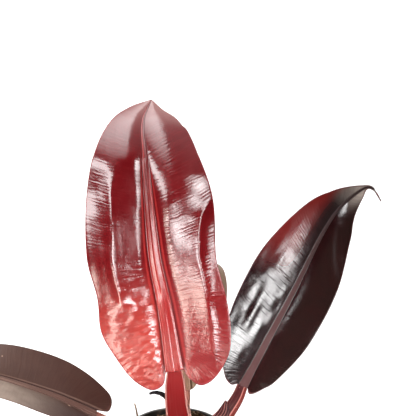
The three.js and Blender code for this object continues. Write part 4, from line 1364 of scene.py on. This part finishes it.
# In every blade look below, the grooves' darker colour is painted shade, the colour of the rib's lines, edges
# and shoulders is painted glints, and the margin's paler line is a painted rim highlight.
BLADE_LOOK = {
    "wander": 1.2, "mottling": 0.35, "vein_tint": 0.12, "groove_shade_share": 0.75, "line": 0.0009,
    "line_share": 0.6, "fleck": (0.62, 0.4, 0.3), "fleck_scale": 130.0, "fleck_share": 0.004,
    "fleck_size": 0.16, "fleck_strength": 0.7, "specular": 0.55, "roughness": 0.15,
    "ridge_depth": 0.000028, "ridge_sides": (0.4, 1.0), "pleat_depth": 0.000012, "strand_depth": 0.00025,
    "skin_depth": 0.0001, "tip_from": 0.6, "foot_crinkle": 1.0, "painted_glint_share": 0.5, "rib_dull": 0.14,
    "foot_ridge": 1.0, "right_dull": 0.0, "patches": [], "upper_patches": [],
}
NEWEST_LOOK = dict(
    # The tip's pale grey-pink is the leaf's red with a painted sheen of overhead light.
    BLADE_LOOK, foot=(0.17, 0.011, 0.012), middle=(0.072, 0.0018, 0.003), tip=(0.2, 0.095, 0.09),
    tip_from=0.83, mottle=(0.1, 0.004, 0.005), vein=(0.14, 0.008, 0.01), rib_foot=(0.19, 0.006, 0.006),
    rib_tip=(0.075, 0.002, 0.003), painted_glint=(0.3, 0.024, 0.022), groove_shade=(0.055, 0.0015, 0.0025),
    margin=(0.2, 0.035, 0.04), under=(0.25, 0.05, 0.04), foot_crinkle=2.2, ridge_depth=0.000022,
    ridge_sides=(0.6, 1.0), foot_ridge=2.2, fleck_share=0.0, rib_dull=0.08,
    # This lighter patch at the lower left is the leaf's red with a painted warm haze of reflected low light.
    patches=[((0.29, 0.036, 0.028), [("along", 0.42, 0.1), ("across", 0.004, -0.012)])],
)
RIGHT_LOOK = dict(
    # The tip's near-white colour is a painted highlight.
    BLADE_LOOK, foot=(0.008, 0.002, 0.0025), middle=(0.009, 0.0018, 0.0022), tip=(0.75, 0.64, 0.57),
    tip_from=0.74, mottle=(0.02, 0.003, 0.003), vein=(0.018, 0.005, 0.005), rib_foot=(0.042, 0.003, 0.003),
    rib_tip=(0.014, 0.002, 0.002), painted_glint=(0.05, 0.008, 0.008), groove_shade=(0.006, 0.0015, 0.0015),
    margin=(0.09, 0.02, 0.022), under=(0.16, 0.035, 0.035), ridge_sides=(1.0, 0.25), roughness=0.18,
    painted_glint_share=0.2, rib_dull=0.5, right_dull=-0.08,
    # This grey-brown patch over the right half is a painted haze of reflection.
    patches=[((0.014, 0.0066, 0.0058), [("across", 0.003, 0.012, 0.0, 0.85)])],
    upper_patches=[
        ((0.12, 0.009, 0.008), [("along", 0.4, 0.62), ("along", 0.97, 0.84), ("across", -0.006, -0.02)]),
    ],
)
LEFT_LOOK = dict(
    BLADE_LOOK, foot=(0.03, 0.01, 0.007), middle=(0.05, 0.024, 0.018), tip=(0.05, 0.024, 0.018),
    mottle=(0.024, 0.008, 0.006), vein=(0.065, 0.035, 0.025), rib_foot=(0.07, 0.03, 0.022),
    rib_tip=(0.09, 0.055, 0.042), painted_glint=(0.16, 0.09, 0.07), groove_shade=(0.025, 0.01, 0.008),
    margin=(0.06, 0.025, 0.02), under=(0.1, 0.045, 0.03), fleck_share=0.05, roughness=0.4, specular=0.25,
    patches=[((0.2, 0.15, 0.12), [("across", -0.002, -0.004), ("along", 0.1, 0.45)])],
)
BACK_LOOK = dict(
    BLADE_LOOK, foot=(0.15, 0.09, 0.05), middle=(0.17, 0.1, 0.06), tip=(0.16, 0.09, 0.06),
    mottle=(0.12, 0.06, 0.035), vein=(0.2, 0.13, 0.08), rib_foot=(0.3, 0.16, 0.1),
    rib_tip=(0.2, 0.12, 0.08), painted_glint=(0.35, 0.25, 0.17), groove_shade=(0.08, 0.04, 0.025),
    margin=(0.3, 0.14, 0.12), under=(0.14, 0.085, 0.05), roughness=0.4, specular=0.3,
)
PETIOLE_LOOK = {
    "edge": 0.86, "edge_share": 0.9, "roughness": 0.36, "specular": 0.25, "line_depth": 0.0002,
    "line_share": 0.05, "skin_depth": 0.00012, "fleck": (0.6, 0.4, 0.3), "fleck_scale": 420.0,
    "fleck_share": 0.05, "fleck_size": 0.15, "fleck_strength": 0.4,
}
NEWEST_PETIOLE_LOOK = dict(
    PETIOLE_LOOK, face=(0.145, 0.003, 0.004), face_foot=(0.11, 0.003, 0.004), margin=(0.34, 0.16, 0.14),
    back=(0.3, 0.07, 0.05), back_deep=(0.2, 0.035, 0.03), edge=0.8,
)
RIGHT_PETIOLE_LOOK = dict(
    PETIOLE_LOOK, face=(0.038, 0.0035, 0.0045), face_foot=(0.018, 0.002, 0.004), margin=(0.32, 0.11, 0.095),
    back=(0.26, 0.032, 0.024), back_deep=(0.17, 0.018, 0.014), edge=0.88, edge_share=0.45, line_share=0.4,
    specular=0.15, flank=(0.095, 0.008, 0.006), seam=0.4, seam_width=(0.11, 0.06),
)
LEFT_PETIOLE_LOOK = dict(
    PETIOLE_LOOK, face=(0.2, 0.07, 0.05), face_foot=(0.16, 0.05, 0.035), margin=(0.35, 0.18, 0.13),
    back=(0.26, 0.1, 0.07), back_deep=(0.2, 0.07, 0.05), roughness=0.45,
)
BACK_PETIOLE_LOOK = dict(
    PETIOLE_LOOK, face=(0.4, 0.16, 0.12), face_foot=(0.32, 0.12, 0.09), margin=(0.55, 0.3, 0.24),
    back=(0.5, 0.24, 0.18), back_deep=(0.4, 0.16, 0.12), roughness=0.45,
)
STEM_LOOK = {"colours": ((0.16, 0.07, 0.04), (0.07, 0.035, 0.02)), "roughness": 0.75, "specular": 0.4,
             "scale": 160.0, "depth": 0.0006}
BRACT_LOOK = {"colours": ((0.003, 0.0016, 0.004), (0.014, 0.009, 0.01)), "roughness": 0.7, "specular": 0.2,
              "scale": 210.0, "depth": 0.0004}
FIBRE_LOOK = {"colours": ((0.3, 0.17, 0.08), (0.13, 0.07, 0.032)), "roughness": 0.8, "specular": 0.4,
              "scale": 200.0, "depth": 0.0001}
POT_DUST = (0.12, 0.085, 0.06)


# Settings that a user would change


class PlantSizes(bpy.types.PropertyGroup):
    """Sizes of the fine work."""

    blade_thickness: FloatProperty(
        name="Blade thickness", description="Thickness of a leaf blade beside its midrib",
        default=0.0006, min=0.0003, max=0.001, precision=5, unit="LENGTH")
    vein_spacing: FloatProperty(
        name="Vein spacing", description="Distance from one fine side vein to the next",
        default=0.0019, min=0.0005, max=0.005, precision=5, unit="LENGTH")
    pot_segments: IntProperty(
        name="Pot segments", description="Number of faces round the pot", default=144, min=24, max=360)
    crumbs: IntProperty(
        name="Crumbs", description="Number of crumbs strewn over the soil", default=1500, min=0, max=3000)
    chips: IntProperty(
        name="Chips", description="Number of pale chips strewn over the soil", default=110, min=0, max=400)
    fibres: IntProperty(
        name="Fibres", description="Number of coir fibres strewn over the soil", default=170, min=0, max=600)


class PlantColours(bpy.types.PropertyGroup):
    """Colours of what is not a leaf."""

    soil_dark: FloatVectorProperty(
        name="Dark soil", description="Colour of moist coir", subtype="COLOR", size=3,
        default=(0.02, 0.011, 0.007), min=0, max=1)
    soil_light: FloatVectorProperty(
        name="Light soil", description="Colour of dry coir", subtype="COLOR", size=3,
        default=(0.09, 0.05, 0.028), min=0, max=1)
    chip: FloatVectorProperty(
        name="Chips", description="Colour of the pale chips", subtype="COLOR", size=3,
        default=(0.42, 0.3, 0.19), min=0, max=1)
    moss: FloatVectorProperty(
        name="Moss", description="Colour of the yellow-green bits", subtype="COLOR", size=3,
        default=(0.2, 0.17, 0.05), min=0, max=1)
    pot: FloatVectorProperty(
        name="Pot", description="Colour of the pot's plastic", subtype="COLOR", size=3,
        default=(0.018, 0.018, 0.017), min=0, max=1)
    floor: FloatVectorProperty(
        name="Floor", description="Colour of the floor", subtype="COLOR", size=3,
        default=(0.9, 0.9, 0.9), min=0, max=1)


class StudioSettings(bpy.types.PropertyGroup):
    """Strengths of the studio's lights."""

    ceiling: FloatProperty(name="Ceiling", description="Radiance of the wide light overhead",
                           default=10.0, min=0)
    left: FloatProperty(name="Left panel", description="Radiance of the upper panel on the left",
                        default=16.0, min=0)
    front: FloatProperty(name="Front panels", description="Radiance of the panels in front",
                         default=30.0, min=0)
    right: FloatProperty(name="Right panels", description="Radiance of the panels on the right",
                         default=28.0, min=0)
    low: FloatProperty(name="Low panels", description="Radiance of the low panels in front",
                       default=10.0, min=0)
    surround: FloatProperty(name="Surround", description="Strength of the light from behind",
                            default=1.0, min=0)


# Operators


class PLANT_OT_studio(bpy.types.Operator):
    """Sets up the pale floor, the soft lights, the surround and the camera"""

    bl_idname = "plant.studio"
    bl_label = "Studio"

    def execute(self, context):
        settings = context.scene.plant_studio
        make_floor(tuple(context.scene.plant_colours.floor))
        make_surround(settings.surround)
        for panel in PANELS:
            make_panel(panel, settings)
        make_camera(context)
        return {"FINISHED"}


def direction_place(azimuth, elevation, distance):
    """A place at a distance from the newest leaf, by degrees right of the front and degrees up."""
    a, e = math.radians(azimuth), math.radians(elevation)
    way = Vector((math.sin(a) * math.cos(e), -math.cos(a) * math.cos(e), math.sin(e)))
    return LEAF_MIDDLE + distance * way


def make_floor(colour):
    """The plain pale floor, a square that sends little light back to the plant."""
    half = FLOOR_SIDE * MM / 2
    corners = [(-half, -half, 0), (half, -half, 0), (-half, half, 0), (half, half, 0)]
    mesh = bpy.data.meshes.new("floor")
    mesh.from_pydata(corners, [], grid_faces(np.arange(4).reshape(2, 2)).tolist())
    floor = bpy.data.objects.new("floor", mesh)
    bpy.context.scene.collection.objects.link(floor)
    material, tree = new_material("Pale floor")
    patches = ramp(tree, noise(tree, own_place(tree), 3.0, 2.0), 0.3, 0.7)
    tint = blend(tree, patches, colour, scaled(colour, 0.985))
    seen = add(tree, "LightPath").outputs["Is Camera Ray"]
    set_surface(material, blend(tree, seen, scaled(colour, FLOOR_BOUNCE), tint), 0.9, 0.1)
    mesh.materials.append(material)


def make_surround(strength):
    """Light from all round: bright above and behind, dark low down in front, and white to the eye."""
    world = bpy.data.worlds.new("Studio surround")
    world.use_nodes = True
    tree = world.node_tree
    tree.nodes.clear()
    way = add(tree, "SeparateXYZ", add(tree, "TexCoord").outputs["Generated"]).outputs
    back = work_out(tree, "ADD", product(tree, way[1], 0.7), product(tree, way[2], 0.8))
    bright = product(tree, ramp(tree, back, 0.0, 0.75, 0.03, 1.0), strength)
    studio, white = (add(tree, "Background", (1, 1, 1, 1), light).outputs[0] for light in (bright, 1.0))
    seen = add(tree, "LightPath").outputs["Is Camera Ray"]
    mixed = add(tree, "MixShader", seen, studio, white)
    tree.links.new(mixed.outputs[0], add(tree, "OutputWorld").inputs["Surface"])
    bpy.context.scene.world = world


def make_panel(panel, settings):
    """A rectangular light that faces a point, unseen by the camera itself.

    From straight in front it has the radiance, and tan(angle) off that line takes it down evenly, to
    nothing at half the spread.
    """
    place = Vector(panel["place"]) if "place" in panel else direction_place(*panel["from_leaf"])
    half_spread = math.radians(panel.get("spread", 180)) / 2
    share = 1 - half_spread / math.tan(half_spread)
    radiance = getattr(settings, panel["setting"]) * panel.get("share", 1)
    light = bpy.data.lights.new(panel["name"], "AREA")
    light.shape = "RECTANGLE"
    width, height = panel["size"]
    light.size, light.size_y = width, height
    light.energy = radiance * share * math.pi * width * height
    light.spread = 2 * half_spread
    light.color = panel.get("colour", (1, 1, 1))
    lamp = bpy.data.objects.new(panel["name"], light)
    lamp.location = place
    way = Vector(panel.get("aim", LEAF_MIDDLE)) - place
    lamp.rotation_euler = way.to_track_quat("-Z", "Y").to_euler()
    lamp.visible_camera = False
    bpy.context.scene.collection.objects.link(lamp)


def make_camera(context):
    """The camera that sees the plant as the photograph does."""
    camera = bpy.data.cameras.new("Camera")
    camera.sensor_width = CAMERA["sensor"]
    camera.lens = CAMERA["focal_px"] / CAMERA["frame_px"] * CAMERA["sensor"]
    camera.clip_end = 10
    seat = bpy.data.objects.new("Camera", camera)
    seat.location = Vector(CAMERA["place"]) * MM
    seat.rotation_euler = Euler((math.radians(CAMERA["tilt"]), 0, 0))
    context.scene.collection.objects.link(seat)
    context.scene.camera = seat
    context.scene.view_settings.view_transform = "Standard"


class PLANT_OT_blades(bpy.types.Operator):
    """Builds the four leaf blades with their ribs, folds and crinkles"""

    bl_idname = "plant.blades"
    bl_label = "Leaf blades"

    def execute(self, context):
        sizes = context.scene.plant_sizes
        leaves = (("newest", NEWEST_LEAF, NEWEST_LOOK), ("right", RIGHT_LEAF, RIGHT_LOOK),
                  ("left", LEFT_LEAF, LEFT_LOOK), ("back", BACK_LEAF, BACK_LOOK))
        for name, leaf, look in leaves:
            material = blade_material(name.capitalize() + " blade", look, sizes.vein_spacing)
            make_blade(name + "_blade_surface", name + "_leaf_blade", leaf,
                       sizes.blade_thickness, material)
        return {"FINISHED"}


class PLANT_OT_petioles(bpy.types.Operator):
    """Builds the four petioles, with the sheath on the right one"""

    bl_idname = "plant.petioles"
    bl_label = "Petioles"

    def execute(self, context):
        stalks = (("newest", NEWEST_PETIOLE, NEWEST_LEAF, NEWEST_PETIOLE_LOOK),
                  ("right", RIGHT_PETIOLE, RIGHT_LEAF, RIGHT_PETIOLE_LOOK),
                  ("left", LEFT_PETIOLE, LEFT_LEAF, LEFT_PETIOLE_LOOK),
                  ("back", BACK_PETIOLE, BACK_LEAF, BACK_PETIOLE_LOOK))
        for name, petiole, leaf, look in stalks:
            material = petiole_material(name.capitalize() + " petiole", look)
            make_petiole(name + "_petiole_surface", name + "_leaf_petiole", petiole, leaf,
                         material, sheathed=name == "right")
        return {"FINISHED"}


class PLANT_OT_stem(bpy.types.Operator):
    """Builds the scarred stem and the dry bract beside it"""

    bl_idname = "plant.stem"
    bl_label = "Stem and bract"

    def execute(self, context):
        make_stem(plain_material("Stem", STEM_LOOK))
        make_bract(plain_material("Dry bract", BRACT_LOOK))
        return {"FINISHED"}


class PLANT_OT_soil(bpy.types.Operator):
    """Builds the soil with its crumbs, chips and coir fibres"""

    bl_idname = "plant.soil"
    bl_label = "Soil"

    def execute(self, context):
        sizes, colours = context.scene.plant_sizes, context.scene.plant_colours
        picked = (colours.soil_dark, colours.soil_light, colours.chip, colours.moss)
        dark, light, chip, moss = (tuple(colour) for colour in picked)
        make_soil(soil_material("Coir mix", (dark, light, moss)))
        make_crumbs("soil_crumbs", sizes.crumbs, CRUMBS, crumb_material("Coir crumbs", (dark, light, chip)))
        pale_tones, rim_tones = (chip, scaled(chip, 0.6), moss), (light, scaled(chip, 0.8), moss)
        make_crumbs("pale_chips", sizes.chips, CHIPS, crumb_material("Pale chips", pale_tones))
        make_crumbs("rim_bits", RIM_BIT_COUNT, RIM_BITS, crumb_material("Rim bits", rim_tones))
        make_fibres(sizes.fibres, plain_material("Coir fibres", FIBRE_LOOK))
        return {"FINISHED"}


class PLANT_OT_pot(bpy.types.Operator):
    """Builds the nursery pot with its rim band and drain holes"""

    bl_idname = "plant.pot"
    bl_label = "Nursery pot"

    def execute(self, context):
        colours = context.scene.plant_colours
        material = pot_material("Pot plastic", tuple(colours.pot), POT_DUST)
        make_pot(context.scene.plant_sizes.pot_segments, material)
        return {"FINISHED"}


class PLANT_PT_panel(bpy.types.Panel):
    """The plant's tools in the sidebar of the 3D view"""

    bl_label = "Potted philodendron"
    bl_idname = "PLANT_PT_panel"
    bl_space_type = "VIEW_3D"
    bl_region_type = "UI"
    bl_category = "Plant"

    def draw(self, context):
        layout = self.layout
        for operator in OPERATORS:
            layout.operator(operator.bl_idname)
        for settings in (context.scene.plant_sizes, context.scene.plant_colours, context.scene.plant_studio):
            box = layout.box()
            for name in settings.__annotations__:
                box.prop(settings, name)


OPERATORS = (PLANT_OT_studio, PLANT_OT_pot, PLANT_OT_soil, PLANT_OT_stem, PLANT_OT_petioles, PLANT_OT_blades)
CLASSES = (PlantSizes, PlantColours, StudioSettings) + OPERATORS + (PLANT_PT_panel,)


def register():
    """Adds the classes and their settings to Blender."""
    for cls in CLASSES:
        bpy.utils.register_class(cls)
    bpy.types.Scene.plant_sizes = PointerProperty(type=PlantSizes)
    bpy.types.Scene.plant_colours = PointerProperty(type=PlantColours)
    bpy.types.Scene.plant_studio = PointerProperty(type=StudioSettings)


def unregister():
    """Takes away what register adds."""
    del bpy.types.Scene.plant_studio
    del bpy.types.Scene.plant_colours
    del bpy.types.Scene.plant_sizes
    for cls in reversed(CLASSES):
        bpy.utils.unregister_class(cls)


def main():
    """Builds the stage and every piece in turn."""
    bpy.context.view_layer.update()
    register()
    make_groups()
    bpy.ops.plant.studio()
    bpy.ops.plant.pot()
    bpy.ops.plant.soil()
    bpy.ops.plant.stem()
    bpy.ops.plant.petioles()
    bpy.ops.plant.blades()


if __name__ == "__main__":
    main()
